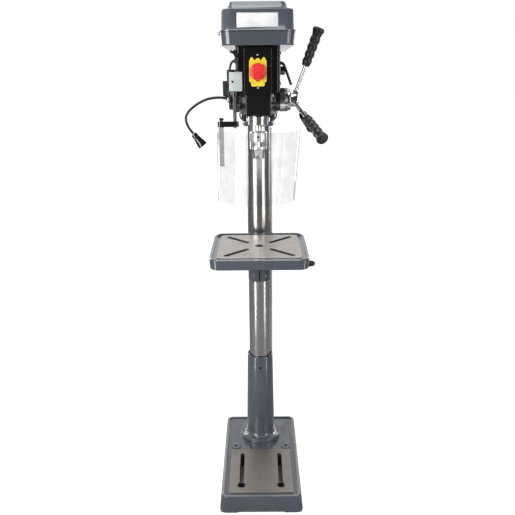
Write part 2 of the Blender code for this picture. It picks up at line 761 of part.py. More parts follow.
def build_head():
    half = HEAD_WIDTH / 2
    rear = HEAD_REAR_WIDTH / 2
    nose = NOSE_WIDTH / 2
    back = SLEEVE_RADIUS - 0.002
    lap = 0.010
    upper = [
        (half - 0.006, HEAD_FRONT), (half, HEAD_FRONT + 0.006), (half, -0.080), (rear, -0.070),
        (rear, back - 0.020), (rear - 0.020, back),
    ]
    lower = [
        (nose - 0.004, HEAD_FRONT + 0.005), (half - 0.008, -0.190), (half - 0.004, -0.060), (half - 0.004, 0.030),
    ]
    front = [(nose - 0.003, NOSE_FRONT), (nose, NOSE_FRONT + 0.003), (nose, SPINDLE_Y)]
    upper, lower, front = ([*side, *((-x, y) for x, y in reversed(side))] for side in (upper, lower, front))
    head = part("head_casting", prism(upper, HEAD_SEAM + 0.003, HEAD_TOP), "black")
    join(
        head,
        prism(lower, HEAD_LOW, HEAD_SEAM + lap),
        prism(front, HEAD_LOW - 0.001, HEAD_SEAM),
        rod(SLEEVE_RADIUS, SLEEVE_LOW, HEAD_TOP - 0.004, segments=FINE),
        rod(nose - 0.0015, HEAD_LOW - 0.006, HEAD_LOW + 0.03, centre=(0, SPINDLE_Y, 0), segments=40),
        rod(DEPTH_RING_RADIUS - 0.001, 0.040, BOSS_END, "X", (0, FEED_Y, FEED_Z), FINE),
        rod(SPRING_CUP + 0.001, SPRING_SEAT, -0.040, "X", (0, FEED_Y, FEED_Z), FINE),
    )
    pinion_radius = FEED_TEETH * FEED_MODULE / 2
    cut(
        head,
        rod(COLUMN_RADIUS + RUN, SLEEVE_LOW - 0.01, COLUMN_TOP + 0.002, segments=FINE),
        rod(QUILL_RADIUS + RUN, HEAD_LOW - 0.02, QUILL_HIGH + 0.005, centre=(0, SPINDLE_Y, 0), segments=FINE),
        rod(SPINDLE_RADIUS + 0.006, QUILL_HIGH, HEAD_TOP + 0.01, centre=(0, SPINDLE_Y, 0)),
        rod(FEED_SHAFT + RUN, -0.08, 0.08, "X", (0, FEED_Y, FEED_Z), SMALL),
        box((-0.018, SPINDLE_Y + 0.015, FEED_Z - 0.016), (0.018, FEED_Y + pinion_radius + 0.004, FEED_Z + 0.016)),
        box((-0.050, -0.138, HEAD_SEAM + 0.012), (0.050, -0.075, HEAD_TOP + 0.01)),
        rod(MOTOR_SHAFT + RUN, HEAD_TOP - 0.028, HEAD_TOP + 0.01, centre=(0, IDLER_Y, 0), segments=SMALL),
        rod(LEVER_SHAFT + RUN, half - 0.018, 0.09, "X", (0, LEVER_Y, LEVER_Z), SMALL),
        rod(KNOB_STUD + RUN, BAR_X, 0.09, "X", (0, LOCK_Y, BAR_Z), 16),
    )
    for side in (-1, 1):
        cut(head, rod(BAR_RADIUS + RUN, LEVER_Y + 0.0085, 0.09, "Y", (side * BAR_X, 0, BAR_Z), SMALL))


def build_feed():
    pinion_radius = FEED_TEETH * FEED_MODULE / 2
    rack_low = QUILL_LOW + 0.020
    pitch = math.pi * FEED_MODULE
    count = int((QUILL_HIGH - 0.004 - rack_low) / pitch)
    teeth = rack_teeth(FEED_MODULE, SPINDLE_Y + QUILL_RACK_PITCH, rack_low, count)
    outside = SPINDLE_Y + QUILL_RADIUS + 0.004
    bearing = BEARING_RADIUS + RUN
    quill_profile = [
        (SPINDLE_RADIUS + 0.0025, QUILL_LOW + BEARING_HEIGHT + GAP),
        (bearing, QUILL_LOW + BEARING_HEIGHT + GAP),
        (bearing, QUILL_LOW),
        (QUILL_RADIUS - 0.0015, QUILL_LOW),
        (QUILL_RADIUS, QUILL_LOW + 0.0015),
        (QUILL_RADIUS, QUILL_HIGH),
        (SPINDLE_RADIUS + 0.0025, QUILL_HIGH),
    ]
    quill = part("quill", lathe(quill_profile, "Z", (0, SPINDLE_Y, 0), ROUND), "steel", (0, SPINDLE_Y, QUILL_LOW))
    cut(quill, prism([(outside, teeth[0][1]), *teeth, (outside, teeth[-1][1])], -0.0145, 0.0145, "X"))

    bearing_ring = [
        (SPINDLE_RADIUS + RUN, QUILL_LOW + 0.001),
        (BEARING_RADIUS, QUILL_LOW + 0.001),
        (BEARING_RADIUS, QUILL_LOW + BEARING_HEIGHT),
        (SPINDLE_RADIUS + RUN, QUILL_LOW + BEARING_HEIGHT),
    ]
    part("quill_bearing", lathe(bearing_ring, "Z", (0, SPINDLE_Y, 0), ROUND), "steel", (0, SPINDLE_Y, QUILL_LOW))
    spindle = [
        (0, CHUCK_TOP - 0.022),
        (0.0075, CHUCK_TOP - 0.022),
        (SPINDLE_RADIUS - 0.001, CHUCK_TOP - 0.001),
        (SPINDLE_RADIUS - 0.001, CHUCK_TOP + GAP),
        (SPINDLE_RADIUS, CHUCK_TOP + 0.001),
        (SPINDLE_RADIUS, SPINDLE_TOP),
        (0, SPINDLE_TOP),
    ]
    part("spindle", lathe(spindle, "Z", (0, SPINDLE_Y, 0), SMALL), "steel", (0, SPINDLE_Y, CHUCK_TOP))

    turn = tooth_turn(FEED_MODULE, FEED_TEETH, FEED_Z, rack_low)
    centre = (0, FEED_Y, FEED_Z)
    shaft = part("feed_shaft", rod(FEED_SHAFT, -0.078, 0.110, "X", centre, SMALL), "steel", centre)
    outline = moved(gear(FEED_TEETH, FEED_MODULE, turn), (FEED_Y, FEED_Z))
    join(shaft, prism(outline, -0.012, 0.012, "X"))

    hub_profile = [
        (0, 0.111),
        (FEED_SHAFT + RUN, 0.111),
        (FEED_SHAFT + RUN, BOSS_END + GAP),
        (0.012, BOSS_END + GAP),
        (0.012, DEPTH_RING_END + GAP),
        (HUB_FLANGE, DEPTH_RING_END + GAP),
        (HUB_FLANGE, 0.092),
        (HUB_FLANGE - 0.002, 0.094),
        (HUB_RADIUS, 0.095),
        (HUB_RADIUS, HUB_END - 0.0015),
        (HUB_RADIUS - 0.0015, HUB_END),
        (0, HUB_END),
    ]
    hub = part("feed_hub", lathe(hub_profile, "X", centre, ROUND), "chrome", centre)
    ring = [
        (0.012 + RUN, BOSS_END + GAP),
        (DEPTH_RING_RADIUS, BOSS_END + GAP),
        (DEPTH_RING_RADIUS, DEPTH_RING_END - 0.001),
        (DEPTH_RING_RADIUS - 0.001, DEPTH_RING_END),
        (0.012 + RUN, DEPTH_RING_END),
    ]
    part("depth_ring", lathe(ring, "X", centre, FINE), "chrome", centre)

    root = Vector((HANDLE_X, FEED_Y, FEED_Z))
    grip_start = HANDLE_LENGTH - GRIP_LENGTH
    rod_start = FEED_SHAFT + 0.004
    for name, angle in (("up", 90), ("front", 210), ("back", 330)):
        radial = Vector((0, math.cos(math.radians(angle)), math.sin(math.radians(angle))))
        lean = radial * math.cos(HANDLE_LEAN) + Vector((math.sin(HANDLE_LEAN), 0, 0))
        cut(hub, rod(HANDLE_ROD + RUN, rod_start - GAP, 0.04, lean, root, SMALL))
        bar = rod(HANDLE_ROD, rod_start, grip_start + 0.085, lean, root, SMALL)
        part(f"handle_rod_{name}", bar, "chrome", root)
        grip = [(0, grip_start), (GRIP_WAIST, grip_start), (GRIP_WAIST + 0.0015, grip_start + 0.003)]
        ribs = 4
        rib_pitch = (GRIP_LENGTH - 0.030) / ribs
        for rib in range(ribs):
            at = grip_start + 0.004 + rib * rib_pitch
            grip += [(GRIP_WAIST + 0.003, at + 0.005), (GRIP_WAIST + 0.003, at + rib_pitch - 0.006),
                     (GRIP_WAIST, at + rib_pitch - 0.002)]
        grip += [
            (GRIP_WAIST + 0.002, HANDLE_LENGTH - 0.018),
            (GRIP_FLARE, HANDLE_LENGTH - 0.008),
            (GRIP_FLARE, HANDLE_LENGTH - 0.004),
            (GRIP_FLARE - 0.004, HANDLE_LENGTH),
            (0, HANDLE_LENGTH),
        ]
        made = part(f"grip_{name}", lathe(grip, lean, root, SMALL), "grip", root)
        cut(made, rod(HANDLE_ROD + RUN, grip_start - 0.01, grip_start + 0.0855, lean, root, SMALL))

    wall = 0.0025
    inside = SPRING_CUP - wall
    cup_profile = [
        (0, -SPRING_CUP_END),
        (SPRING_CUP - 0.002, -SPRING_CUP_END),
        (SPRING_CUP, -SPRING_CUP_END + 0.002),
        (SPRING_CUP, SPRING_SEAT - GAP),
        (inside, SPRING_SEAT - GAP),
        (inside, -SPRING_CUP_END + wall),
        (0, -SPRING_CUP_END + wall),
    ]
    part("spring_housing", lathe(cup_profile, "X", centre, FINE), "black", centre)


def build_chuck():
    centre = (0, SPINDLE_Y, 0)
    body = part(
        "chuck_body",
        lathe(
            [
                (0, CHUCK_LOW),
                (CHUCK_NOSE - 0.004, CHUCK_LOW),
                (CHUCK_NOSE - 0.002, CHUCK_LOW + 0.002),
                (CHUCK_NOSE + 0.001, SLEEVE_BOTTOM - 0.004),
                (CHUCK_CORE, SLEEVE_BOTTOM - GAP),
                (CHUCK_CORE, SLEEVE_HIGH + GAP),
                (CHUCK_RADIUS, SLEEVE_HIGH + GAP),
                (CHUCK_RADIUS, CHUCK_TOP - 0.003),
                (CHUCK_RADIUS - 0.003, CHUCK_TOP),
                (0, CHUCK_TOP),
            ],
            "Z", centre, 40,
        ),
        "chrome",
        (0, SPINDLE_Y, CHUCK_TOP),
    )
    cut(body, rod(0.0085, CHUCK_LOW - 0.01, CHUCK_LOW + 0.030, centre=centre, segments=SMALL))
    taper_hole = SPINDLE_RADIUS - 0.001 + RUN
    cut(body, rod(taper_hole, CHUCK_TOP - 0.0225, CHUCK_TOP + 0.01, centre=centre, segments=SMALL))
    part(
        "chuck_sleeve",
        lathe(
            [
                (CHUCK_CORE + RUN, SLEEVE_BOTTOM),
                (CHUCK_RADIUS - 0.0005, SLEEVE_BOTTOM),
                (CHUCK_RADIUS, SLEEVE_BOTTOM + 0.001),
                (CHUCK_RADIUS, SLEEVE_HIGH),
                (CHUCK_CORE + RUN, SLEEVE_HIGH),
            ],
            "Z", centre, 40,
        ),
        "chrome",
        (0, SPINDLE_Y, CHUCK_TOP),
    )
    for jaw in range(3):
        angle = math.radians(90 + 120 * jaw)
        radial = Vector((math.cos(angle), math.sin(angle), 0))
        down = Vector((0, 0, -1)) * math.cos(JAW_LEAN) - radial * math.sin(JAW_LEAN)
        tip = Vector((0, SPINDLE_Y, CHUCK_LOW + 0.001)) + radial * JAW_OUT
        cut(body, rod(JAW_RADIUS + RUN, -0.012, 0.040, -down, tip, SMALL))
        part(f"chuck_jaw_{jaw + 1}", rod(JAW_RADIUS, 0.0, 0.026, -down, tip, SMALL, 0.0008), "steel", tip)


def build_switch():
    half = SWITCH_WIDTH / 2
    low = HEAD_SEAM + GAP
    back = HEAD_FRONT - GAP
    wall = 0.0035
    corner = rounded(SWITCH_WIDTH, SWITCH_TOP - low, 0.004, (0, (SWITCH_TOP + low) / 2), 3)
    housing = part("switch_housing", prism(corner, SWITCH_FRONT, back, "Y"), "black")
    cut(
        housing,
        box((-half + wall, SWITCH_FRONT + wall, low + wall), (half - wall, back + 0.01, SWITCH_TOP - wall)),
        rod(STEM_OF_STOP + 0.002, SWITCH_FRONT - 0.01, SWITCH_FRONT + 0.01, "Y", (0, 0, STOP_Z), SMALL),
        rod(BUTTON_RADIUS + RUN, SWITCH_FRONT - 0.01, SWITCH_FRONT + 0.01, "Y", (0, 0, START_Z), SMALL),
    )
    flap_back = SWITCH_FRONT - 0.0005
    flap_front = flap_back - FLAP_THICK
    w = FLAP_WIDTH / 2
    notch_in = 0.008
    tab = FLAP_TAB_WIDTH / 2
    tab_top = FLAP_LOW + FLAP_TAB_HEIGHT
    outline = [
        (-tab, FLAP_LOW + 0.003), (0.003 - tab, FLAP_LOW), (tab - 0.003, FLAP_LOW), (tab, FLAP_LOW + 0.003),
        (tab, tab_top), (w - 0.002, tab_top), (w, tab_top + 0.003), (w, FLAP_HIGH - 0.009), (w - 0.005, FLAP_HIGH),
        (w - 0.009, FLAP_HIGH), (notch_in, FLAP_HIGH - 0.009), (0.003, FLAP_HIGH - 0.002),
        (-0.003, FLAP_HIGH - 0.002), (-notch_in, FLAP_HIGH - 0.009), (0.009 - w, FLAP_HIGH), (0.005 - w, FLAP_HIGH),
        (-w, FLAP_HIGH - 0.009), (-w, tab_top + 0.003), (0.002 - w, tab_top), (-tab, tab_top),
    ]
    hinge = (0, flap_back - 0.0045, FLAP_HIGH - 0.002)
    flap = part("switch_flap", prism(outline, flap_front, flap_back, "Y"), "yellow", hinge)
    skin = 0.002
    cut(
        flap,
        box((skin - w, flap_front + skin, tab_top + skin), (w - skin, flap_back + 0.01, FLAP_HIGH - 0.014)),
        box((skin - tab, flap_front + skin, FLAP_LOW + 2 * skin), (tab - skin, flap_back + 0.01, tab_top + 2 * skin)),
        rod(STEM_OF_STOP + RUN, flap_front - 0.01, flap_back + 0.01, "Y", (0, 0, STOP_Z), SMALL),
    )
    travel = 0.003
    cap_back = flap_front - travel - 0.0005
    cap = [
        (0, cap_back - 0.0115),
        (STOP_RADIUS - 0.006, cap_back - 0.0112),
        (STOP_RADIUS - 0.0015, cap_back - 0.0085),
        (STOP_RADIUS, cap_back - 0.004),
        (STOP_RADIUS, cap_back - 0.001),
        (STOP_RADIUS - 0.001, cap_back),
        (STEM_OF_STOP, cap_back),
        (STEM_OF_STOP, SWITCH_FRONT + 0.003),
        (0, SWITCH_FRONT + 0.003),
    ]
    part("stop_cap", lathe(cap, "Y", (0, 0, STOP_Z), FINE), "red", (0, cap_back, STOP_Z))
    button = [
        (0, SWITCH_FRONT - 0.0045),
        (BUTTON_RADIUS - 0.001, SWITCH_FRONT - 0.0045),
        (BUTTON_RADIUS, SWITCH_FRONT - 0.0035),
        (BUTTON_RADIUS, SWITCH_FRONT + 0.010),
        (0, SWITCH_FRONT + 0.010),
    ]
    part("start_button", lathe(button, "Y", (0, 0, START_Z), SMALL), "green", (0, SWITCH_FRONT, START_Z))


def cover_ring(inset, z, corner=COVER_CORNER):
    outline = rounded(
        COVER_WIDTH - 2 * inset,
        COVER_BACK - COVER_FRONT - 2 * inset,
        corner - inset / 2,
        (0, (COVER_FRONT + COVER_BACK) / 2),
        5,
    )
    return level(outline, z)


def knuckles(y, lid):
    """The hinge blocks at one place along the cover: two outer ones on the pan, or the middle one on the lid."""
    length = KNUCKLE_LENGTH
    spans = [(y - length / 2, y + length / 2)]
    if not lid:
        spans = [(y - 1.5 * length - GAP, y - length / 2 - GAP), (y + length / 2 + GAP, y + 1.5 * length + GAP)]
    web = (HINGE_Z + 0.0012, HINGE_Z + 0.0038) if lid else (HINGE_Z - 0.0038, HINGE_Z - 0.0012)
    inset = 0.0001
    shapes = []
    for low, high in spans:
        shapes.append(rod(KNUCKLE_RADIUS, low, high, "Y", (HINGE_X, 0, HINGE_Z), SMALL))
        shapes.append(box((HINGE_X, low + inset, web[0]), (-COVER_WIDTH / 2 + 0.001, high - inset, web[1])))
    return shapes


def build_cover():
    low = HEAD_TOP + GAP
    seam = COVER_SEAM - GAP
    pan = part(
        "belt_pan",
        loft([cover_ring(0.005, low), cover_ring(0.0028, low + 0.003), cover_ring(0, seam)]),
        "paint",
    )
    slot_width = 0.036
    motor_slot = rounded(
        slot_width, slot_width + 2 * MOTOR_TRAVEL, slot_width / 2 - 0.0001, (0, MOTOR_Y - MOTOR_TRAVEL / 2)
    )
    cut(
        pan,
        loft([cover_ring(0.0028 + SHEET, low + SHEET), cover_ring(SHEET, seam), cover_ring(SHEET, seam + 0.01)]),
        rod(SPINDLE_RADIUS + 0.010, low - 0.01, low + 0.01, centre=(0, SPINDLE_Y, 0)),
        rod(MOTOR_SHAFT + 0.003, low - 0.01, low + 0.01, centre=(0, IDLER_Y, 0), segments=SMALL),
        prism(motor_slot, low - 0.01, low + 0.01),
    )
    for y in HINGE_PLACES:
        pin = rod(HINGE_PIN, y - KNUCKLE_LENGTH, y + KNUCKLE_LENGTH, "Y", (HINGE_X, 0, HINGE_Z), SMALL)
        join(pan, *knuckles(y, lid=False), pin)

    bottom = COVER_SEAM + GAP
    shoulder = COVER_SHOULDER
    outside = [
        cover_ring(-0.0012, bottom), cover_ring(-0.0012, bottom + 0.003), cover_ring(0.0004, bottom + 0.0045),
        cover_ring(0.0030, shoulder - 0.007), cover_ring(0.0048, shoulder - 0.002), cover_ring(0.0090, shoulder),
        cover_ring(0.0210, shoulder + 0.002), cover_ring(0.0240, COVER_TOP - 0.006),
        cover_ring(0.0270, COVER_TOP - 0.0015), cover_ring(0.0330, COVER_TOP),
    ]
    inside = [
        cover_ring(0.0012, bottom - 0.01), cover_ring(0.0012, bottom + 0.004),
        cover_ring(0.0030 + SHEET, shoulder - 0.008), cover_ring(0.0110, shoulder - SHEET),
        cover_ring(0.0240, shoulder - 0.0005), cover_ring(0.0265, COVER_TOP - 0.006),
        cover_ring(0.0330, COVER_TOP - SHEET),
    ]
    lid = part("belt_lid", loft(outside), "paint", (HINGE_X, 0, HINGE_Z))
    cut(lid, loft(inside))
    for y in HINGE_PLACES:
        bore = rod(HINGE_PIN + RUN, y - KNUCKLE_LENGTH, y + KNUCKLE_LENGTH, "Y", (HINGE_X, 0, HINGE_Z), SMALL)
        join(lid, *knuckles(y, lid=True))
        cut(lid, bore)


def step_profile(steps, bore, hub_low=None):
    """A step pulley with one V-groove on each step, rising from PULLEY_LOW."""
    start = PULLEY_LOW if hub_low is None else hub_low
    profile = [(bore, start)]
    if hub_low is not None:
        profile += [(bore + 0.0045, hub_low), (bore + 0.0045, PULLEY_LOW)]
    for index, radius in enumerate(steps):
        z = PULLEY_LOW + index * STEP_HEIGHT
        root = radius - GROOVE
        profile += [(radius, z), (root, z + 0.0036), (root, z + 0.0074), (radius, z + 0.0103)]
    top = PULLEY_LOW + len(steps) * STEP_HEIGHT
    return [*profile, (steps[-1], top), (bore, top)]


def belt(name, first, second, index):
    """A V-belt round two pulleys' grooves of the same step. Each pulley is (centre y, radius)."""
    z = PULLEY_LOW + index * STEP_HEIGHT
    section = ((0.0002, 0.0018), (0.0002, 0.0092), (0.0005 - GROOVE, 0.0068), (0.0005 - GROOVE, 0.0042))
    (near_y, near_radius), (far_y, far_radius) = sorted((first, second))
    lean = math.asin((near_radius - far_radius) / (far_y - near_y))
    steps = BELT_STEPS
    rings = []
    for y, radius, low, high in (
        (far_y, far_radius, lean, math.pi - lean),
        (near_y, near_radius, math.pi - lean, math.tau + lean),
    ):
        for step in range(steps + 1):
            angle = low + (high - low) * step / steps
            across, ahead = math.cos(angle), math.sin(angle)
            rings.append([((radius + out) * across, y + (radius + out) * ahead, z + up) for out, up in section])
    part(name, loft(rings, closed=True), "rubber")


def build_drive():
    bore = SPINDLE_RADIUS + RUN
    part(
        "spindle_pulley",
        lathe(step_profile(SPINDLE_STEPS, bore, HEAD_TOP - 0.038), "Z", (0, SPINDLE_Y, 0), ROUND),
        "pulley",
        (0, SPINDLE_Y, PULLEY_LOW),
    )
    idler = (0, IDLER_Y, 0)
    pin = rod(MOTOR_SHAFT, HEAD_TOP - 0.027, PULLEY_LOW + 0.052, centre=idler, segments=SMALL)
    shaft = part("idler_shaft", pin, "steel")
    join(shaft, rod(MOTOR_SHAFT + 0.002, HEAD_TOP + 0.004, PULLEY_LOW - GAP, centre=idler, segments=SMALL))
    part(
        "idler_pulley",
        lathe(step_profile(IDLER_STEPS, MOTOR_SHAFT + RUN), "Z", (0, IDLER_Y, 0), ROUND),
        "pulley",
        (0, IDLER_Y, PULLEY_LOW),
    )
    part(
        "motor_pulley",
        lathe(step_profile(MOTOR_STEPS, MOTOR_SHAFT + RUN), "Z", (0, MOTOR_Y, 0), ROUND),
        "pulley",
        (0, MOTOR_Y, PULLEY_LOW),
    )
    for name, step, first, second in (
        ("front_belt", FRONT_BELT_STEP, (SPINDLE_Y, SPINDLE_STEPS), (IDLER_Y, IDLER_STEPS)),
        ("rear_belt", REAR_BELT_STEP, (IDLER_Y, IDLER_STEPS), (MOTOR_Y, MOTOR_STEPS)),
    ):
        belt(name, (first[0], first[1][step]), (second[0], second[1][step]), step)


def build_motor():
    centre = (0, MOTOR_Y, 0)
    can = [
        (0, MOTOR_LOW),
        (MOTOR_RADIUS - 0.004, MOTOR_LOW),
        (MOTOR_RADIUS, MOTOR_LOW + 0.004),
        (MOTOR_RADIUS, MOTOR_HIGH - 0.012),
        (MOTOR_RADIUS - 0.010, MOTOR_HIGH),
        (0.022, MOTOR_HIGH),
        (0.020, MOTOR_HIGH + 0.007),
        (0, MOTOR_HIGH + 0.007),
    ]
    body = part("motor_body", lathe(can, "Z", centre, FINE), "black", (0, MOTOR_Y, MOTOR_LOW))
    join(
        body,
        box((-0.104, MOTOR_Y - 0.032, 1.315), (-0.055, MOTOR_Y + 0.032, 1.385)),
        box((-0.048, PLATE_Y + 0.008 + GAP, 1.325), (0.048, MOTOR_Y - 0.045, 1.402)),
    )
    cut(body, rod(MOTOR_SHAFT + RUN, MOTOR_HIGH - 0.060, MOTOR_HIGH + 0.02, centre=centre, segments=SMALL))
    shaft = rod(MOTOR_SHAFT, MOTOR_HIGH - 0.059, PULLEY_LOW + 0.050, centre=centre, segments=SMALL)
    part("motor_shaft", shaft, "steel", (0, MOTOR_Y, MOTOR_HIGH))
    wall = 0.0025
    high = MOTOR_LOW - GAP
    outer = [
        (0, FAN_LOW), (0.030, FAN_LOW + 0.001), (0.056, FAN_LOW + 0.007), (0.066, FAN_LOW + 0.022), (0.0675, high),
    ]
    inner = [(radius - wall, z + wall if z < high else high) for radius, z in reversed(outer[1:])]
    cowl = lathe([*outer, *inner, (0, FAN_LOW + wall)], "Z", centre, FINE)
    part("motor_fan_cover", cowl, "black", (0, MOTOR_Y, MOTOR_LOW))

    plate = part("motor_plate", box((-0.066, PLATE_Y, 1.318), (0.066, PLATE_Y + 0.008, 1.412)), "black")
    for side in (-1, 1):
        bar_end = LEVER_Y + 0.0095 + MOTOR_TRAVEL
        join(plate, rod(BAR_RADIUS, bar_end, PLATE_Y + 0.003, "Y", (side * BAR_X, 0, BAR_Z), SMALL))

    pivot = rod(LEVER_SHAFT, 0.043, 0.070, "X", (0, LEVER_Y, LEVER_Z), SMALL)
    lever = part("tension_lever", pivot, "black", (0.060, LEVER_Y, LEVER_Z))
    start = Vector((0.066, LEVER_Y, LEVER_Z))
    elbow = Vector((0.078, LEVER_Y, LEVER_Z - 0.003))
    end = Vector((0.101, LEVER_Y, LEVER_Z - 0.062))
    for low, high in ((start, elbow), (elbow, end)):
        span = high - low
        join(lever, rod(LEVER_ROD, -0.002, span.length + 0.002, span.normalized(), low, 16, 0.0012))
    wall_x = HEAD_REAR_WIDTH / 2
    stud = rod(KNOB_STUD, wall_x - 0.005, 0.072, "X", (0, LOCK_Y, BAR_Z), 16)
    knob = part("motor_lock_knob", stud, "black", (wall_x, LOCK_Y, BAR_Z))
    join(knob, rod(0.013, wall_x + 0.001, 0.084, "X", (0, LOCK_Y, BAR_Z), 8, 0.002))


def shield_outline(wide, centre_x, z):
    """The shield's crescent at one height: an elliptical front wall, open to the column."""
    deep = 0.096
    steps = 28
    reach = math.radians(6)
    outline = []
    for inset, order in ((0, range(steps + 1)), (SHIELD_WALL, range(steps, -1, -1))):
        for step in order:
            angle = math.pi - reach + (math.pi + 2 * reach) * step / steps
            outline.append(
                (
                    centre_x + (wide - inset) * math.cos(angle),
                    TABLE_Y + (deep - inset) * math.sin(angle),
                    z,
                )
            )
    return outline


def build_guard():
    low = GUARD_BOX_LOW
    high = low + GUARD_BOX[2]
    back = HEAD_FRONT - GAP
    x = (GUARD_BOX_X - GUARD_BOX[0] / 2, GUARD_BOX_X + GUARD_BOX[0] / 2)
    hinge = (ROD_X, GUARD_Y, ARM_Z)
    switch_box = part("guard_switch_box", box((x[0], back - GUARD_BOX[1], low), (x[1], back, high)), "box")
    cut(switch_box, rod(ROD_RADIUS + RUN, low - 0.01, low + 0.022, centre=(ROD_X, GUARD_Y, 0), segments=SMALL))
    post = rod(ROD_RADIUS, ARM_Z, low + 0.021, centre=(ROD_X, GUARD_Y, 0), segments=SMALL)
    arm = part("guard_arm", post, "black", hinge)
    bar = rounded(ROD_X - STRIP_X + 0.022, 0.016, 0.0078, ((ROD_X + STRIP_X) / 2, GUARD_Y), 5)
    join(
        arm,
        prism(bar, ARM_Z - 0.0075, ARM_Z + 0.0075),
        rod(0.010, low - 0.010, low - 0.0005, centre=(ROD_X, GUARD_Y, 0), segments=SMALL),
    )
    wide_high = 0.1205
    wide_low = 0.1145
    part(
        "guard_shield",
        loft([shield_outline(wide_low, -0.0075, SHIELD_LOW), shield_outline(wide_high, 0.0015, SHIELD_HIGH)]),
        "clear",
        (ROD_X, GUARD_Y, ARM_Z),
    )
    x = (STRIP_X - 0.0065, STRIP_X + 0.0065)
    under_arm = ARM_Z - 0.0075 - GAP
    blade = box((x[0], STRIP_Y, STRIP_LOW), (x[1], STRIP_Y + STRIP_THICK, under_arm))
    strip = part("guard_strip", blade, "box", hinge)
    join(strip, box((x[0], STRIP_Y, under_arm - STRIP_THICK), (x[1], GUARD_Y + 0.006, under_arm)))


def build_lamp():
    wall_x = -HEAD_WIDTH / 2 - GAP
    half = 0.014
    base = part("lamp_base", box((LAMP_X, LAMP_Y - half, LAMP_LOW), (wall_x, LAMP_Y + half, LAMP_HIGH)), "grip")
    join(base, rod(0.0065, -wall_x + 0.004, 0.098, (-1, 0, 0), (0, LAMP_Y, NECK_Z), SMALL))
    ribs = 5
    for rib in range(ribs):
        x = LAMP_X + 0.004 + rib * 0.006
        groove = (LAMP_Y - half - 0.01, LAMP_Y - half + 0.0015)
        cut(base, box((x, groove[0], LAMP_LOW + 0.014), (x + 0.002, groove[1], LAMP_HIGH + 0.01)))
    route = (
        (-0.0983, LAMP_Y, NECK_Z), (-0.1209, LAMP_Y, 1.3048), (-0.1494, LAMP_Y, 1.3010), (-0.1767, LAMP_Y, 1.2897),
        (-0.2026, LAMP_Y, 1.2714), (-0.2154, LAMP_Y, 1.2551), (-0.2181, LAMP_Y, 1.2423), (-0.2148, LAMP_Y, 1.2275),
        (-0.2071, LAMP_Y, 1.2127), (-0.1975, LAMP_Y, 1.2005),
    )
    cable("gooseneck", route, NECK_RADIUS)
    root = Vector((-0.1972, LAMP_Y, 1.2001))
    aim = Vector((0.606, 0, -0.795)).normalized()
    cone = [
        (0, 0.0005), (0.0085, 0.0005), (0.0090, 0.002), (0.0100, 0.020), (0.0145, 0.040), (0.0145, 0.046),
        (0.0125, 0.046), (0.0125, 0.042), (0, 0.042),
    ]
    part("lamp_head", lathe(cone, aim, root, ROUND), "black", root)
    part("lamp_lens", rod(0.0125 - RUN, 0.042 + GAP, 0.0450, aim, root, ROUND), "lens", root)


def build_leads():
    box_top = GUARD_BOX_LOW + GUARD_BOX[2] + GAP
    cable(
        "guard_lead",
        (
            (-0.055, GUARD_Y, box_top), (-0.055, GUARD_Y, 1.392), (-0.057, GUARD_Y + 0.001, 1.407),
            (-0.062, GUARD_Y + 0.007, 1.422), (-0.070, GUARD_Y + 0.018, 1.429), (-0.074, GUARD_Y + 0.030, 1.430),
            (-0.071, GUARD_Y + 0.040, 1.429), (-0.066, GUARD_Y + 0.042, 1.429), (-0.0615, GUARD_Y + 0.042, 1.429),
        ),
        0.0035,
    )
    cable(
        "lamp_lead",
        (
            (-0.0615, -0.216, 1.406), (-0.067, -0.216, 1.406), (-0.0740, -0.216, 1.399), (-0.0785, -0.216, 1.382),
            (-0.0800, -0.216, 1.360), (-0.0802, -0.216, 1.340), (-0.0800, -0.216, 1.320), (-0.0794, -0.216, 1.302),
            (-0.0765, -0.216, 1.287), (-0.0700, -0.216, 1.276), (-0.0620, -0.216, 1.272), (-0.0520, -0.216, 1.271),
        ),
        0.003,
    )


def main():
    for obj in list(bpy.data.objects):
        bpy.data.objects.remove(obj)
    build_base()
    build_column()
    rack_start = build_rack()
    build_table_lift(rack_start)
    build_table()
    build_head()
    build_feed()
    build_chuck()
    build_switch()
    build_cover()
    build_drive()
    build_motor()
    build_guard()
    build_lamp()
    build_leads()


main()
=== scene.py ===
"""The drill press as it looks: painted castings, steel, chrome and plastic on the fixed frame."""

import json
import math

import bmesh
import bpy
from mathutils import Matrix, Vector


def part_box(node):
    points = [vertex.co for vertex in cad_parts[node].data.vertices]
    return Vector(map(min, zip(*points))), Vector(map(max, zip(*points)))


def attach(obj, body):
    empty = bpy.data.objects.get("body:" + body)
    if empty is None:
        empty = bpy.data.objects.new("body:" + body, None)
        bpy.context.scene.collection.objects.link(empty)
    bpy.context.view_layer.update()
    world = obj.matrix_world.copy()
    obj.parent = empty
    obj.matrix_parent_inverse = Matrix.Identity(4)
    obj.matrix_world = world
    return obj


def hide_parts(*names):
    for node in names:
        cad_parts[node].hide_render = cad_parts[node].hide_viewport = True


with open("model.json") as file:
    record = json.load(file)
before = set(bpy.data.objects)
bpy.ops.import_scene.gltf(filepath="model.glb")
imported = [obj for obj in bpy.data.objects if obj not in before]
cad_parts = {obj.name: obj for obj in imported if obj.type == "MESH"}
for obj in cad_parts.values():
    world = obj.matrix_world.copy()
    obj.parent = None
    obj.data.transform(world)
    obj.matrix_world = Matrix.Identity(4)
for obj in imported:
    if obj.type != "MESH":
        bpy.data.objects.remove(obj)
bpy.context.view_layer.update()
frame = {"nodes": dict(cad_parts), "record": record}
nodes = frame["nodes"]
body_of_node = {
    node: body for body, members in frame["record"]["behaviour"]["bodies"].items() for node in members
}
slot_of_node = {row["node"]: row["material_slot"] for row in frame["record"]["subparts"]}

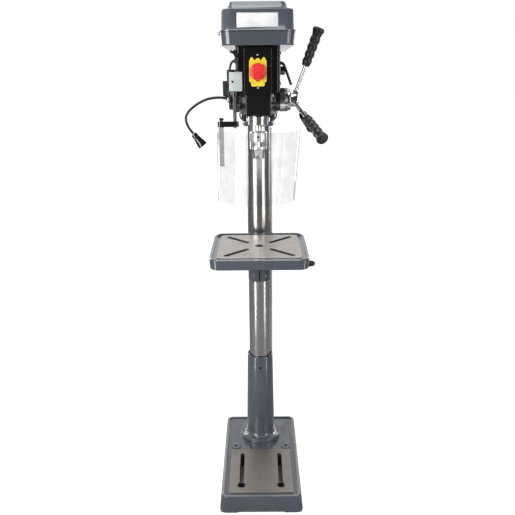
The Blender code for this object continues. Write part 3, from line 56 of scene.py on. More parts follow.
MERGE = 0.00001
TURNS = 96  # sides of a large turned piece
SMALL_TURNS = 40
SPINDLE = Vector((0, -0.205, 0))
FEED = Vector((0, -0.165, 1.299))
MOTOR = Vector((0, 0.150, 0))
IDLER = Vector((0, -0.030, 0))
COLUMN_BORE = 0.0383
PULLEY_LOW = 1.4525
STEP_RISE = 0.0115
GROOVE = 0.006
TILT_Z = 0.790
CRANK_Y = 0.005
STOP_Z = 1.377
START_Z = 1.351
SWITCH_FRONT = -0.265
HINGE_X = -0.106
HINGE_Z = 1.4772
HINGE_PLACES = (-0.190, 0.125)
LEVER_Y = -0.060
LEVER_Z = 1.402
GUARD_Y = -0.253
GUARD_ROD_X = -0.065
ARM_THICK = 0.015
LAMP_Y = -0.120
LAMP_LEAD_Y = -0.216
SINK = 0.0004  # how far a screw head reaches into the face that it sits on


# ---------------------------------------------------------------- surface effects


def effect(name, inputs, outputs):
    """An empty node group with named sockets, and its two end nodes."""
    group = bpy.data.node_groups.new(name, "ShaderNodeTree")
    for label, kind, value in inputs:
        socket = group.interface.new_socket(label, in_out="INPUT", socket_type="NodeSocket" + kind)
        socket.default_value = value
    for label, kind in outputs:
        group.interface.new_socket(label, in_out="OUTPUT", socket_type="NodeSocket" + kind)
    return group, group.nodes.new("NodeGroupInput").outputs, group.nodes.new("NodeGroupOutput").inputs


def feed_socket(tree, socket, value):
    """Links a socket, or sets it to a plain value."""
    if isinstance(value, bpy.types.NodeSocket):
        tree.links.new(value, socket)
    else:
        socket.default_value = value


def noise(tree, vector, scale, detail=3.0, roughness=0.5):
    node = tree.nodes.new("ShaderNodeTexNoise")
    feed_socket(tree, node.inputs["Vector"], vector)
    feed_socket(tree, node.inputs["Scale"], scale)
    node.inputs["Detail"].default_value = detail
    node.inputs["Roughness"].default_value = roughness
    return node.outputs["Fac"]


def ranged(tree, value, low, high, to_low=0.0, to_high=1.0):
    node = tree.nodes.new("ShaderNodeMapRange")
    labels = ("Value", "From Min", "From Max", "To Min", "To Max")
    for label, given in zip(labels, (value, low, high, to_low, to_high)):
        feed_socket(tree, node.inputs[label], given)
    return node.outputs["Result"]


def maths(tree, operation, first, second=0.0):
    node = tree.nodes.new("ShaderNodeMath")
    node.operation = operation
    feed_socket(tree, node.inputs[0], first)
    feed_socket(tree, node.inputs[1], second)
    return node.outputs[0]


def stretched(tree, vector, by):
    node = tree.nodes.new("ShaderNodeVectorMath")
    node.operation = "MULTIPLY"
    feed_socket(tree, node.inputs[0], vector)
    feed_socket(tree, node.inputs[1], by)
    return node.outputs[0]


def mixed(tree, share, first, second, kind="MIX"):
    node = tree.nodes.new("ShaderNodeMix")
    node.data_type = "RGBA"
    node.blend_type = kind
    for label, given in (("Factor_Float", share), ("A_Color", first), ("B_Color", second)):
        feed_socket(tree, next(s for s in node.inputs if s.identifier == label), given)
    return next(s for s in node.outputs if s.identifier == "Result_Color")


def make_scuffs():
    """Sparse fine scratches in two directions."""
    group, given, out = effect(
        "scuffs", [("Vector", "Vector", (0, 0, 0)), ("Amount", "Float", 0.5)], [("Mask", "Float")]
    )
    long_way = noise(group, stretched(group, given["Vector"], (12, 260, 90)), 1.0, 2)
    cross_way = noise(group, stretched(group, given["Vector"], (300, 14, 60)), 1.0, 2)
    patches = ranged(group, noise(group, given["Vector"], 16.0, 3), 0.48, 0.66)
    lines = maths(group, "MAXIMUM", ranged(group, long_way, 0.66, 0.72), ranged(group, cross_way, 0.67, 0.73))
    mask = maths(group, "MULTIPLY", maths(group, "MULTIPLY", lines, patches), given["Amount"])
    group.links.new(mask, out["Mask"])
    return group


def scratch_mask(group, given, scuffs):
    """The mask of the scuffs effect, inside another effect."""
    node = group.nodes.new("ShaderNodeGroup")
    node.node_tree = scuffs
    group.links.new(given["Vector"], node.inputs["Vector"])
    group.links.new(given["Scuffs"], node.inputs["Amount"])
    return node.outputs["Mask"]


def make_paint_film(scuffs):
    """Sprayed enamel: fine orange peel, slow change of tone and polish marks."""
    group, given, out = effect(
        "paint_film",
        [("Vector", "Vector", (0, 0, 0)), ("Colour", "Color", (0.1, 0.1, 0.1, 1)),
         ("Peel Scale", "Float", 420.0), ("Gloss Low", "Float", 0.2), ("Gloss High", "Float", 0.34),
         ("Scuffs", "Float", 0.5)],
        [("Colour", "Color"), ("Roughness", "Float"), ("Height", "Float")],
    )
    slow = noise(group, given["Vector"], 7.0, 4)
    cloudy = noise(group, given["Vector"], 55.0, 5)
    peel = noise(group, given["Vector"], given["Peel Scale"], 2)
    lumps = noise(group, given["Vector"], 90.0, 2)
    marks = scratch_mask(group, given, scuffs)
    darker = mixed(group, 1.0, given["Colour"], (0.84, 0.85, 0.87, 1), "MULTIPLY")
    toned = mixed(group, ranged(group, slow, 0.35, 0.65), darker, given["Colour"])
    lighter = mixed(group, maths(group, "MULTIPLY", marks, 0.35), toned, (0.55, 0.56, 0.58, 1))
    group.links.new(lighter, out["Colour"])
    base = ranged(group, cloudy, 0.3, 0.7, given["Gloss Low"], given["Gloss High"])
    group.links.new(maths(group, "ADD", base, maths(group, "MULTIPLY", marks, 0.2)), out["Roughness"])
    fine = maths(group, "MULTIPLY", peel, 0.4)
    group.links.new(maths(group, "ADD", fine, maths(group, "MULTIPLY", lumps, 0.45)), out["Height"])
    return group


def make_tool_marks(scuffs):
    """Ground, milled or turned metal: fine lines across the stretched axis, oil stains and wear."""
    group, given, out = effect(
        "tool_marks",
        [("Vector", "Vector", (0, 0, 0)), ("Stretch", "Vector", (3, 3, 900)),
         ("Colour", "Color", (0.6, 0.6, 0.6, 1)), ("Stain", "Color", (0.4, 0.38, 0.34, 1)),
         ("Stains", "Float", 0.4), ("Gloss Low", "Float", 0.22),
         ("Gloss High", "Float", 0.42), ("Scuffs", "Float", 0.5)],
        [("Colour", "Color"), ("Roughness", "Float"), ("Height", "Float")],
    )
    lines = noise(group, stretched(group, given["Vector"], given["Stretch"]), 1.0, 4, 0.65)
    cloud = noise(group, given["Vector"], 14.0, 5, 0.6)
    marks = scratch_mask(group, given, scuffs)
    streaked = mixed(group, ranged(group, lines, 0.35, 0.65, 0.0, 0.45), given["Colour"], given["Stain"])
    stain = maths(group, "MULTIPLY", ranged(group, cloud, 0.48, 0.72), given["Stains"])
    stained = mixed(group, stain, streaked, given["Stain"])
    worn = mixed(group, maths(group, "MULTIPLY", marks, 0.5), stained, (0.85, 0.84, 0.82, 1))
    group.links.new(worn, out["Colour"])
    base = ranged(group, lines, 0.3, 0.7, given["Gloss Low"], given["Gloss High"])
    group.links.new(maths(group, "ADD", base, maths(group, "MULTIPLY", stain, 0.15)), out["Roughness"])
    group.links.new(maths(group, "SUBTRACT", lines, maths(group, "MULTIPLY", marks, 0.6)), out["Height"])
    return group


def make_moulded_skin(scuffs):
    """Moulded plastic or rubber: fine spark grain, small change of tone and shiny handled patches."""
    group, given, out = effect(
        "moulded_skin",
        [("Vector", "Vector", (0, 0, 0)), ("Colour", "Color", (0.5, 0.5, 0.5, 1)),
         ("Grain Scale", "Float", 900.0), ("Gloss Low", "Float", 0.3), ("Gloss High", "Float", 0.5),
         ("Scuffs", "Float", 0.3)],
        [("Colour", "Color"), ("Roughness", "Float"), ("Height", "Float")],
    )
    cells = group.nodes.new("ShaderNodeTexVoronoi")
    group.links.new(given["Vector"], cells.inputs["Vector"])
    group.links.new(given["Grain Scale"], cells.inputs["Scale"])
    handled = noise(group, given["Vector"], 30.0, 4)
    marks = scratch_mask(group, given, scuffs)
    darker = mixed(group, 1.0, given["Colour"], (0.88, 0.88, 0.88, 1), "MULTIPLY")
    toned = mixed(group, ranged(group, handled, 0.35, 0.65), darker, given["Colour"])
    paler = mixed(group, 1.0, given["Colour"], (0.25, 0.25, 0.25, 1), "ADD")
    group.links.new(mixed(group, maths(group, "MULTIPLY", marks, 0.5), toned, paler), out["Colour"])
    gloss = ranged(group, handled, 0.3, 0.7, given["Gloss Low"], given["Gloss High"])
    group.links.new(gloss, out["Roughness"])
    group.links.new(cells.outputs["Distance"], out["Height"])
    return group


SCUFFS = make_scuffs()
PAINT_FILM = make_paint_film(SCUFFS)
TOOL_MARKS = make_tool_marks(SCUFFS)
MOULDED_SKIN = make_moulded_skin(SCUFFS)


# ---------------------------------------------------------------- materials


def surface(name, group, settings, bump, depth, **fixed):
    """A material whose colour, roughness and height come from one effect on the piece's own coordinates."""
    made = bpy.data.materials.new(name)
    made.use_nodes = True
    tree = made.node_tree
    shader = tree.nodes["Principled BSDF"]
    for label, value in fixed.items():
        shader.inputs[label.replace("_", " ")].default_value = value
    place = tree.nodes.new("ShaderNodeTexCoord")
    node = tree.nodes.new("ShaderNodeGroup")
    node.node_tree = group
    tree.links.new(place.outputs["Object"], node.inputs["Vector"])
    for label, value in settings.items():
        node.inputs[label].default_value = value
    relief = tree.nodes.new("ShaderNodeBump")
    relief.inputs["Strength"].default_value = bump
    relief.inputs["Distance"].default_value = depth
    tree.links.new(node.outputs["Height"], relief.inputs["Height"])
    tree.links.new(node.outputs["Colour"], shader.inputs["Base Color"])
    tree.links.new(node.outputs["Roughness"], shader.inputs["Roughness"])
    tree.links.new(relief.outputs["Normal"], shader.inputs["Normal"])
    return made


def paint(name, colour, peel=420.0, gloss=(0.16, 0.26), scuffs=0.3, bump=0.10):
    settings = {
        "Colour": (*colour, 1), "Peel Scale": peel, "Gloss Low": gloss[0], "Gloss High": gloss[1],
        "Scuffs": scuffs,
    }
    return surface(name, PAINT_FILM, settings, bump, 0.0004, Coat_Weight=0.9, Coat_Roughness=0.06)


def metal(name, colour, stain, stretch, stains=0.4, gloss=(0.22, 0.40), scuffs=0.5, bump=0.12):
    settings = {
        "Stretch": stretch, "Colour": (*colour, 1), "Stain": (*stain, 1), "Stains": stains,
        "Gloss Low": gloss[0], "Gloss High": gloss[1], "Scuffs": scuffs,
    }
    return surface(name, TOOL_MARKS, settings, bump, 0.00006, Metallic=1.0)


def moulded(name, colour, grain=900.0, gloss=(0.30, 0.48), scuffs=0.25, bump=0.12, **fixed):
    settings = {
        "Colour": (*colour, 1), "Grain Scale": grain, "Gloss Low": gloss[0], "Gloss High": gloss[1],
        "Scuffs": scuffs,
    }
    return surface(name, MOULDED_SKIN, settings, bump, 0.0001, **fixed)


ALONG_X = (4, 700, 700)
ROUND_Z = (4, 4, 1100)
ROUND_X = (1100, 4, 4)

LOOKS = {
    "enamel": paint("blue_grey_enamel", (0.082, 0.094, 0.112)),
    "black_enamel": paint(
        "black_gloss_enamel", (0.006, 0.006, 0.0065), gloss=(0.12, 0.24), scuffs=0.25, bump=0.16
    ),
    "milled_iron": metal(
        "milled_table_iron", (0.60, 0.565, 0.52), (0.42, 0.39, 0.35), ALONG_X, 0.5, (0.30, 0.46)
    ),
    "pad_iron": metal(
        "milled_pad_iron", (0.34, 0.315, 0.285), (0.22, 0.20, 0.18), ALONG_X, 0.5, (0.34, 0.48)
    ),
    "ground_steel": metal(
        "ground_column_steel", (0.56, 0.555, 0.54), (0.50, 0.49, 0.47), ROUND_Z, 0.05, (0.20, 0.27),
        0.05, 0.03,
    ),
    "turned_steel": metal(
        "turned_shaft_steel", (0.62, 0.62, 0.61), (0.36, 0.35, 0.33), ROUND_X, 0.3, (0.20, 0.34)
    ),
    "zinc": metal(
        "zinc_plated_screws", (0.68, 0.68, 0.66), (0.45, 0.44, 0.40), (90, 90, 90), 0.5, (0.26, 0.42)
    ),
    "blackened": metal(
        "blackened_bolts", (0.05, 0.05, 0.052), (0.02, 0.02, 0.02), (90, 90, 90), 0.5, (0.30, 0.45)
    ),
    "chrome": metal(
        "bright_chrome", (0.68, 0.68, 0.69), (0.52, 0.52, 0.52), (40, 40, 40), 0.15, (0.07, 0.14), 0.3, 0.02
    ),
    "pulley_metal": metal(
        "turned_aluminium", (0.74, 0.74, 0.74), (0.50, 0.50, 0.50), ROUND_Z, 0.25, (0.28, 0.42)
    ),
    "grip_plastic": moulded("ribbed_grip_plastic", (0.014, 0.014, 0.0135), gloss=(0.28, 0.46)),
    "belt_rubber": moulded("belt_rubber", (0.012, 0.012, 0.012), 1400.0, (0.6, 0.8), 0.3, 0.4),
    "lead_sheath": moulded("cable_sheath", (0.010, 0.010, 0.010), 700.0, (0.38, 0.55)),
    "yellow_plastic": moulded("yellow_switch_plastic", (0.93, 0.69, 0.045), 1100.0, (0.26, 0.40), 0.15),
    "red_plastic": moulded("red_stop_plastic", (0.82, 0.035, 0.035), 1100.0, (0.22, 0.36), 0.15),
    "green_plastic": moulded("green_start_plastic", (0.02, 0.30, 0.07), 1100.0, (0.22, 0.36), 0.15),
    "grey_plastic": moulded("light_grey_plastic", (0.53, 0.57, 0.56), 900.0, (0.36, 0.52), 0.3),
    "strip_grey": moulded("guard_strip_grey", (0.33, 0.34, 0.34), 900.0, (0.30, 0.44), 0.3),
    "white_plate": moulded("white_plate", (0.82, 0.83, 0.84), 1500.0, (0.22, 0.34), 0.1, 0.03),
    # Flat black: painted shade for the screw cross recesses, chuck key holes and fan cover vents, and the ink
    # of the depth scale.
    "recess_shade_and_scale_ink": moulded("recess_shade_and_scale_ink", (0.006, 0.006, 0.006), 900.0, (0.7, 0.85), 0.0),
}
LOOKS["clear_plastic"] = moulded(
    "clear_polycarbonate", (0.885, 0.888, 0.892), 60.0, (0.03, 0.07), 0.3, 0.01,
    Transmission_Weight=1.0, IOR=1.22
)
LOOKS["lens_plastic"] = moulded(
    "frosted_lens", (0.95, 0.95, 0.92), 500.0, (0.35, 0.5), 0.0, 0.3, Transmission_Weight=0.7, IOR=1.45
)


# ---------------------------------------------------------------- shaping helpers


def piece(name, bm, look, body, stands_for=(), bevel=0.0, sharp=32, second=None):
    """Makes bm a finished piece that moves with body."""
    mesh = bpy.data.meshes.new(name)
    bm.to_mesh(mesh)
    bm.free()
    obj = bpy.data.objects.new(name, mesh)
    bpy.context.scene.collection.objects.link(obj)
    mesh.materials.append(LOOKS[look])
    if second:
        mesh.materials.append(LOOKS[second])
    mesh.shade_smooth()
    mesh.set_sharp_from_angle(angle=math.radians(sharp))
    if bevel:
        edge = obj.modifiers.new("rounded_edges", "BEVEL")
        edge.width = bevel
        edge.segments = 2
        edge.limit_method = "ANGLE"
        edge.angle_limit = math.radians(38)
        edge.use_clamp_overlap = False
        edge.harden_normals = True
    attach(obj, body)
    if stands_for:
        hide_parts(*stands_for)
    return obj


def cleaned(bm):
    bmesh.ops.remove_doubles(bm, verts=bm.verts, dist=MERGE)
    bmesh.ops.recalc_face_normals(bm, faces=bm.faces)
    return bm


def set_at(bm, at, axis):
    """Turns an upright shape to axis and moves it to at."""
    turn = Vector((0, 0, 1)).rotation_difference(Vector(axis)).to_matrix().to_4x4()
    bmesh.ops.transform(bm, matrix=Matrix.Translation(at) @ turn, verts=bm.verts)
    return bm


def swung(bm, angle, axis, centre):
    """Turns a shape about one of the main axes and moves it to centre."""
    bmesh.ops.rotate(bm, matrix=Matrix.Rotation(angle, 3, axis), verts=bm.verts)
    bmesh.ops.translate(bm, vec=centre, verts=bm.verts)
    return bm


def turned(profile, axis=(0, 0, 1), centre=(0, 0, 0), segments=TURNS, rounding=0.0):
    """Turns (radius, height) points about axis through centre. Clear of the axis, they close into a ring."""
    bm = bmesh.new()
    points = [bm.verts.new((radius, 0, height)) for radius, height in profile]
    solid = profile[0][0] == 0 and profile[-1][0] == 0
    ends = points[1:] if solid else points[1:] + points[:1]
    for pair in zip(points, ends):
        bm.edges.new(pair)
    if rounding:
        corners = [v for v in points if 0 < v.co.x]
        bmesh.ops.bevel(
            bm, geom=corners, affect="VERTICES", offset=rounding, segments=2, profile=0.5, material=-1,
            clamp_overlap=True,
        )
    bmesh.ops.spin(
        bm, geom=bm.verts[:] + bm.edges[:], cent=(0, 0, 0), axis=(0, 0, 1), angle=math.tau, steps=segments,
        use_merge=True,
    )
    cleaned(bm)
    return set_at(bm, centre, axis)


def block(low, high, edge=0.0, segments=2):
    """A box between two corners, with rounded edges."""
    bm = bmesh.new()
    bmesh.ops.create_cube(bm, size=1)
    low, high = Vector(low), Vector(high)
    size = high - low
    bmesh.ops.scale(bm, vec=size, verts=bm.verts)
    bmesh.ops.translate(bm, vec=(low + high) / 2, verts=bm.verts)
    if edge:
        bmesh.ops.bevel(
            bm, geom=bm.edges[:], affect="EDGES", offset=edge, segments=segments, profile=0.5, material=-1,
            clamp_overlap=True,
        )
    return bm


def merged(*meshes):
    """Several meshes gathered into the first."""
    first = meshes[0]
    for other in meshes[1:]:
        holder = bpy.data.meshes.new("gathered")
        other.to_mesh(holder)
        other.free()
        first.from_mesh(holder)
        bpy.data.meshes.remove(holder)
    return first


def cad_copy(node):
    """A CAD node's own shape with its loose triangles joined and its flat faces whole."""
    bm = bmesh.new()
    bm.from_mesh(nodes[node].data)
    bmesh.ops.remove_doubles(bm, verts=bm.verts, dist=MERGE)
    bmesh.ops.dissolve_limit(bm, angle_limit=math.radians(0.5), verts=bm.verts[:], edges=bm.edges[:])
    return bm


def dressed(node, look, bevel=0.0005, sharp=32, second=None, chooses=None):
    """The piece that stands for one CAD node. chooses picks the faces that take the second look."""
    bm = cad_copy(node)
    if second:
        for face in bm.faces:
            face.material_index = 1 if chooses(face) else 0
    return piece(
        f"{node}_finished", bm, look, body_of_node[node], (node,), bevel, sharp, second
    )


def turned_part(node, profile, look, axis=(0, 0, 1), centre=(0, 0, 0), segments=TURNS, rounding=0.0):
    """A CAD node's turned shape made again with a rounder outline."""
    bm = turned(profile, axis, centre, segments, rounding)
    return piece(f"{node}_turned", bm, look, body_of_node[node], (node,))


def hex_bolt(name, at, axis, size, body, look="zinc", washer=True):
    """A hexagon head, chamfered on top, on its washer. at is the face it sits on."""
    height = size * 0.62
    head = bmesh.new()
    bmesh.ops.create_cone(
        head, cap_ends=True, segments=6, radius1=size, radius2=size, depth=height,
        matrix=Matrix.Translation((0, 0, height / 2 + size * 0.16)),
    )
    top = [e for e in head.edges if all(v.co.z > height for v in e.verts)]
    bmesh.ops.bevel(head, geom=top, affect="EDGES", offset=size * 0.13, segments=2, profile=0.5, material=-1)
    shapes = [head]
    if washer:
        rim, thick = size * 1.35, size * 0.16
        shapes.append(turned([(0, 0), (rim, 0), (rim, thick), (0, thick)], segments=SMALL_TURNS))
    bm = merged(*shapes)
    return piece(name, set_at(bm, at, axis), look, body)


def cross_screw(name, at, axis, radius, body, look="zinc"):
    """A pan-head screw whose cross recess is two flat black bars on its head: painted shade in place of a
    hole.
    """
    height = radius * 0.7
    profile = [
        (0, height), (radius * 0.35, height), (radius * 0.8, height * 0.72), (radius, height * 0.2),
        (radius, -SINK), (0, -SINK),
    ]
    head = turned(profile, segments=28)
    for turn in (0, math.pi / 2):
        reach, half = radius * 0.6, radius * 0.11
        bar = block((-reach, -half, height * 0.93), (reach, half, height * 1.04))
        bmesh.ops.rotate(bar, matrix=Matrix.Rotation(turn + 0.4, 3, "Z"), verts=bar.verts)
        for face in bar.faces:
            face.material_index = 1
        head = merged(head, bar)
    return piece(name, set_at(head, at, axis), look, body, second="recess_shade_and_scale_ink")


def socket_screw(name, at, axis, radius, body, look="blackened", height=None):
    """A socket-head screw, its round hole open at the top."""
    height = height or radius
    hole = radius * 0.52
    floor = height * 0.45
    profile = [
        (0, floor), (hole, floor), (hole, height), (radius * 0.9, height), (radius, height * 0.88),
        (radius, -SINK), (0, -SINK),
    ]
    bm = turned(profile, segments=36)
    return piece(name, set_at(bm, at, axis), look, body)


def smooth_path(points, spacing):
    """Points about spacing apart along a smooth curve through the chosen ones."""
    chosen = [Vector(p) for p in points]
    chosen = [2 * chosen[0] - chosen[1], *chosen, 2 * chosen[-1] - chosen[-2]]
    path = []
    for before, start, end, after in zip(chosen, chosen[1:], chosen[2:], chosen[3:]):
        steps = max(1, round((end - start).length / spacing))
        for i in range(steps):
            t = i / steps
            path.append(
                0.5 * (2 * start + (end - before) * t + (2 * before - 5 * start + 4 * end - after) * t**2
                       + (3 * start - before - 3 * end + after) * t**3)
            )
    return [*path, chosen[-2]]


def tube(name, route, radius, look, body, stands_for=(), ribs=0.0, spacing=None):
    """A round lead along its route. ribs is the height of its corrugations."""
    curve = bpy.data.curves.new(name, "CURVE")
    curve.dimensions = "3D"
    curve.bevel_depth = radius
    curve.bevel_resolution = 6
    curve.use_fill_caps = True
    points = smooth_path(route, spacing or radius * 0.9)
    line = curve.splines.new("POLY")
    line.points.add(len(points) - 1)
    for index, (point, spot) in enumerate(zip(line.points, points)):
        point.co = (*spot, 1)
        point.radius = 1.0 - (ribs / radius if index % 2 else 0.0)
    holder = bpy.data.objects.new(name + "_line", curve)
    bpy.context.scene.collection.objects.link(holder)
    bpy.context.view_layer.update()
    graph = bpy.context.evaluated_depsgraph_get()
    made = bpy.data.meshes.new_from_object(holder.evaluated_get(graph))
    bpy.data.objects.remove(holder)
    bm = bmesh.new()
    bm.from_mesh(made)
    bpy.data.meshes.remove(made)
    cleaned(bm)
    for face in bm.faces:
        face.material_index = 0
    return piece(name, bm, look, body, stands_for, sharp=60)


# ---------------------------------------------------------------- base and column


def dress_base():
    face_height = 0.0576
    dressed(
        "base_plate", "enamel", 0.0007, second="pad_iron",
        chooses=lambda f: f.normal.z > 0.99 and f.calc_center_median().z > face_height
        and f.calc_center_median().y < -0.10,
    )
    low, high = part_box("column_socket")
    flange_top = low.z + 0.016
    foot, top, fillet = 0.0515, 0.0455, 0.012
    curve = []
    for step in range(9):
        angle = math.radians(90) * step / 8
        curve.append((foot + fillet * (1 - math.sin(angle)), flange_top + fillet * (1 - math.cos(angle))))
    profile = [
        (COLUMN_BORE, low.z), (0.073, low.z), (0.075, low.z + 0.002), (0.075, flange_top - 0.003),
        (0.0742, flange_top - 0.001), (0.072, flange_top), *curve, (top, high.z - 0.0035),
        (top - 0.0006, high.z - 0.0012), (top - 0.002, high.z),
        (0.0415, high.z), (0.0415, high.z - 0.015), (COLUMN_BORE, high.z - 0.015),
    ]
    turned_part("column_socket", profile, "enamel")
    for index, (x, y) in enumerate(((-0.0545, -0.0315), (0.0545, -0.0315), (0.0, 0.063))):
        hex_bolt(f"flange_bolt_{index + 1}", (x, y, flange_top - 0.0002), (0, 0, 1), 0.0078, "frame")
    socket_screw("socket_grub_screw", (0.0, -0.0466, 0.360), (0, -1, 0), 0.0042, "frame", height=0.002)


def dress_column():
    low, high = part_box("column")
    inside, outside = 0.034, 0.038
    profile = [
        (inside, low.z), (outside, low.z), (outside, high.z - 0.001), (outside - 0.001, high.z),
        (inside, high.z),
    ]
    turned_part("column", profile, "ground_steel", segments=128)
    dressed("rack", "turned_steel", 0.0002)
    low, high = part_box("rack_collar")
    profile = [
        (COLUMN_BORE, low.z), (0.0505, low.z), (0.052, low.z + 0.0015), (0.052, high.z - 0.0015),
        (0.0505, high.z), (COLUMN_BORE, high.z),
    ]
    turned_part("rack_collar", profile, "enamel", rounding=0.0004)
    middle = (0.0, -0.0515, (low.z + high.z) / 2)
    socket_screw("rack_collar_screw", middle, (0, -1, 0), 0.0036, "frame", height=0.0018)


# ---------------------------------------------------------------- table and lift


def dress_table():
    dressed(
        "table", "enamel", 0.0007, second="milled_iron",
        chooses=lambda f: f.normal.z > 0.99 and abs(f.calc_center_median().z - 0.8685) < 0.0004,
    )
    dressed("table_arm", "enamel", 0.0006)
    dressed("tilt_bolt", "zinc", 0.0004)
    dressed("table_collar", "enamel", 0.0006)
    dressed("lift_pinion", "turned_steel", 0.0002)
    dressed("crank", "black_enamel", 0.0006)
    dressed("collar_lock_lever", "black_enamel", 0.0004)
    low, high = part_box("crank_handle")
    start, end = low.x, high.x
    centre = (0, (low.y + high.y) / 2, (low.z + high.z) / 2)
    profile = [
        (0, start + 0.0005), (0.0070, start), (0.0078, start + 0.001), (0.0092, start + 0.010),
        (0.0108, start + 0.030), (0.0115, end - 0.032), (0.0114, end - 0.020), (0.0104, end - 0.010),
        (0.0085, end - 0.004), (0.0050, end - 0.0008), (0, end),
    ]
    turned_part("crank_handle", profile, "grip_plastic", (1, 0, 0), centre, 64)
    hub = (0.1118, CRANK_Y, 0.7768)
    socket_screw("crank_hub_screw", hub, (0, 0.6, 0.8), 0.0028, "crank_body", height=0.0014)
    for name, side in (("bolt", 1), ("nut", -1)):
        spot = (side * 0.0162, -0.2515, TILT_Z)
        hex_bolt(f"arm_clamp_{name}", spot, (side, 0, 0), 0.0062, "tilt_arm", "zinc")
    draw_tilt_scale()


def draw_tilt_scale():
    """Short raised lines round the arm's round end, every 15 degrees, the middle and end ones longer."""
    radius = 0.0302
    y = -0.0955
    lines = []
    for step in range(-3, 4):
        angle = math.radians(90 + 15 * step)
        end = 0.0045 if step % 3 == 0 else 0.0015
        mark = block((radius - 0.0004, -0.0045, -0.0003), (radius + 0.0001, end, 0.0003))
        lines.append(swung(mark, -angle, "Y", (0, y, TILT_Z)))
    piece("tilt_scale", merged(*lines), "white_plate", "tilt_arm")


# ---------------------------------------------------------------- head, feed, quill and chuck


def dress_head():
    dressed("head_casting", "black_enamel", 0.0012)
    side = 0.0602
    for index, (y, z) in enumerate(((-0.215, 1.425), (-0.215, 1.345), (-0.105, 1.345), (-0.105, 1.425))):
        socket_screw(f"head_cap_screw_{index + 1}", (side, y, z), (1, 0, 0), 0.0042, "frame", "zinc")
    for index, (x, z) in enumerate(((0.0548, 1.272), (0.0680, 1.382))):
        socket_screw(f"column_lock_screw_{index + 1}", (x, 0.012, z), (1, 0, 0), 0.0055, "frame")


def dress_spring_housing():
    low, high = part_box("spring_housing")
    outer, start, end = 0.027, low.x, high.x
    profile = [
        (0, start), (0.0235, start), (0.0258, start + 0.0006), (0.0268, start + 0.002),
        (outer, start + 0.0035), (outer, end), (outer - 0.0025, end), (outer - 0.0025, start + 0.0025),
        (0, start + 0.0025),
    ]
    turned_part("spring_housing", profile, "black_enamel", (1, 0, 0), FEED)
    hex_bolt("spring_nut", (start + 0.0002, FEED.y, FEED.z), (-1, 0, 0), 0.0085, "frame", "zinc")
    for index in range(3):
        angle = math.radians(30 + 120 * index)
        spot = (start + 0.0002, FEED.y + 0.0185 * math.cos(angle), FEED.z + 0.0185 * math.sin(angle))
        socket_screw(f"spring_cover_screw_{index + 1}", spot, (-1, 0, 0), 0.0022, "frame", height=0.0012)


def dress_feed():
    dressed("feed_shaft", "turned_steel", 0.0003)
    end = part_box("feed_hub")[1].x
    hub = [
        (0.012, 0.0864), (0.0292, 0.0864), (0.030, 0.0872), (0.030, 0.0915), (0.0292, 0.0930),
        (0.0275, 0.0940), (0.0205, 0.0945), (0.0196, 0.0955), (0.0195, end - 0.0022), (0.0188, end - 0.0008),
        (0.0172, end), (0, end),
        (0, end - 0.004), (0.0083, end - 0.004), (0.0083, 0.0634), (0.012, 0.0634),
    ]
    turned_part("feed_hub", hub, "chrome", (1, 0, 0), (0, FEED.y, FEED.z))
    cap = (end - 0.0002, FEED.y, FEED.z)
    socket_screw("feed_hub_cap_screw", cap, (1, 0, 0), 0.0062, "feed", "zinc", 0.0022)
    low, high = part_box("depth_ring")
    start, finish = low.x, high.x
    ring = [(0.0123, start), (0.0326, start), (0.033, start + 0.0004)]
    grooves = 16
    knurled = (finish - start) * 0.35
    for groove in range(grooves):
        at = finish - 0.0012 - knurled + knurled * groove / grooves
        ring += [(0.0330, at), (0.0326, at + knurled / grooves / 2)]
    ring += [(0.033, finish - 0.0010), (0.0322, finish), (0.0123, finish)]
    turned_part("depth_ring", ring, "chrome", (1, 0, 0), (0, FEED.y, FEED.z))
    draw_depth_scale(start + 0.0008)
    for name, angle in (("up", 90), ("front", 210), ("back", 330)):
        dress_handle(name, math.radians(angle))


def draw_depth_scale(start):
    """Dark lines round the depth ring, longer at every fifth and longest at every tenth."""
    marks = []
    count = 60
    for index in range(count):
        length = 0.0085 if index % 10 == 0 else 0.0055 if index % 5 == 0 else 0.0035
        mark = block((start, -0.00018, 0.0326), (start + length, 0.00018, 0.03306))
        marks.append(swung(mark, math.tau * index / count, "X", (0, FEED.y, FEED.z)))
    piece("depth_scale", merged(*marks), "recess_shade_and_scale_ink", "scale_ring")


def dress_handle(name, angle):
    """One feed handle: a chrome rod from the hub, and its ribbed grip with a flared end."""
    root = Vector((0.101, FEED.y, FEED.z))
    lean = math.radians(20.5)
    radial = Vector((0, math.cos(angle), math.sin(angle)))
    way = radial * math.cos(lean) + Vector((math.sin(lean), 0, 0))
    length, grip_length = 0.207, 0.108
    start = length - grip_length
    rod = [(0, 0.012), (0.005, 0.012), (0.005, start + 0.0848), (0, start + 0.0848)]
    turned_part(f"handle_rod_{name}", rod, "chrome", way, root, SMALL_TURNS)
    collar = [
        (0.0053, 0.0195), (0.0080, 0.0195), (0.0085, 0.0205), (0.0085, 0.0255), (0.0075, 0.0265),
        (0.0053, 0.0265),
    ]
    piece(f"handle_nut_{name}", turned(collar, way, root, 6), "chrome", "feed")
    waist, flare, waves = 0.0110, 0.017, 4
    grip = [(0, start), (0.0100, start), (0.0112, start + 0.0008), (0.0116, start + 0.0025)]
    pitch = (grip_length - 0.028) / waves
    for wave in range(waves):
        at = start + 0.004 + wave * pitch
        swell = waist + 0.0004 * wave
        for step in range(8):
            phase = step / 8
            grip.append((swell + 0.0026 * math.sin(math.pi * phase), at + pitch * phase))
    grip += [
        (waist + 0.0016, length - 0.0235), (waist + 0.0026, length - 0.0190),
        (flare - 0.0010, length - 0.0110), (flare, length - 0.0085), (flare, length - 0.0050),
        (flare - 0.0012, length - 0.0022), (flare - 0.004, length - 0.0004),
        (0.006, length), (0, length),
    ]
    turned_part(f"grip_{name}", grip, "grip_plastic", way, root, 64)


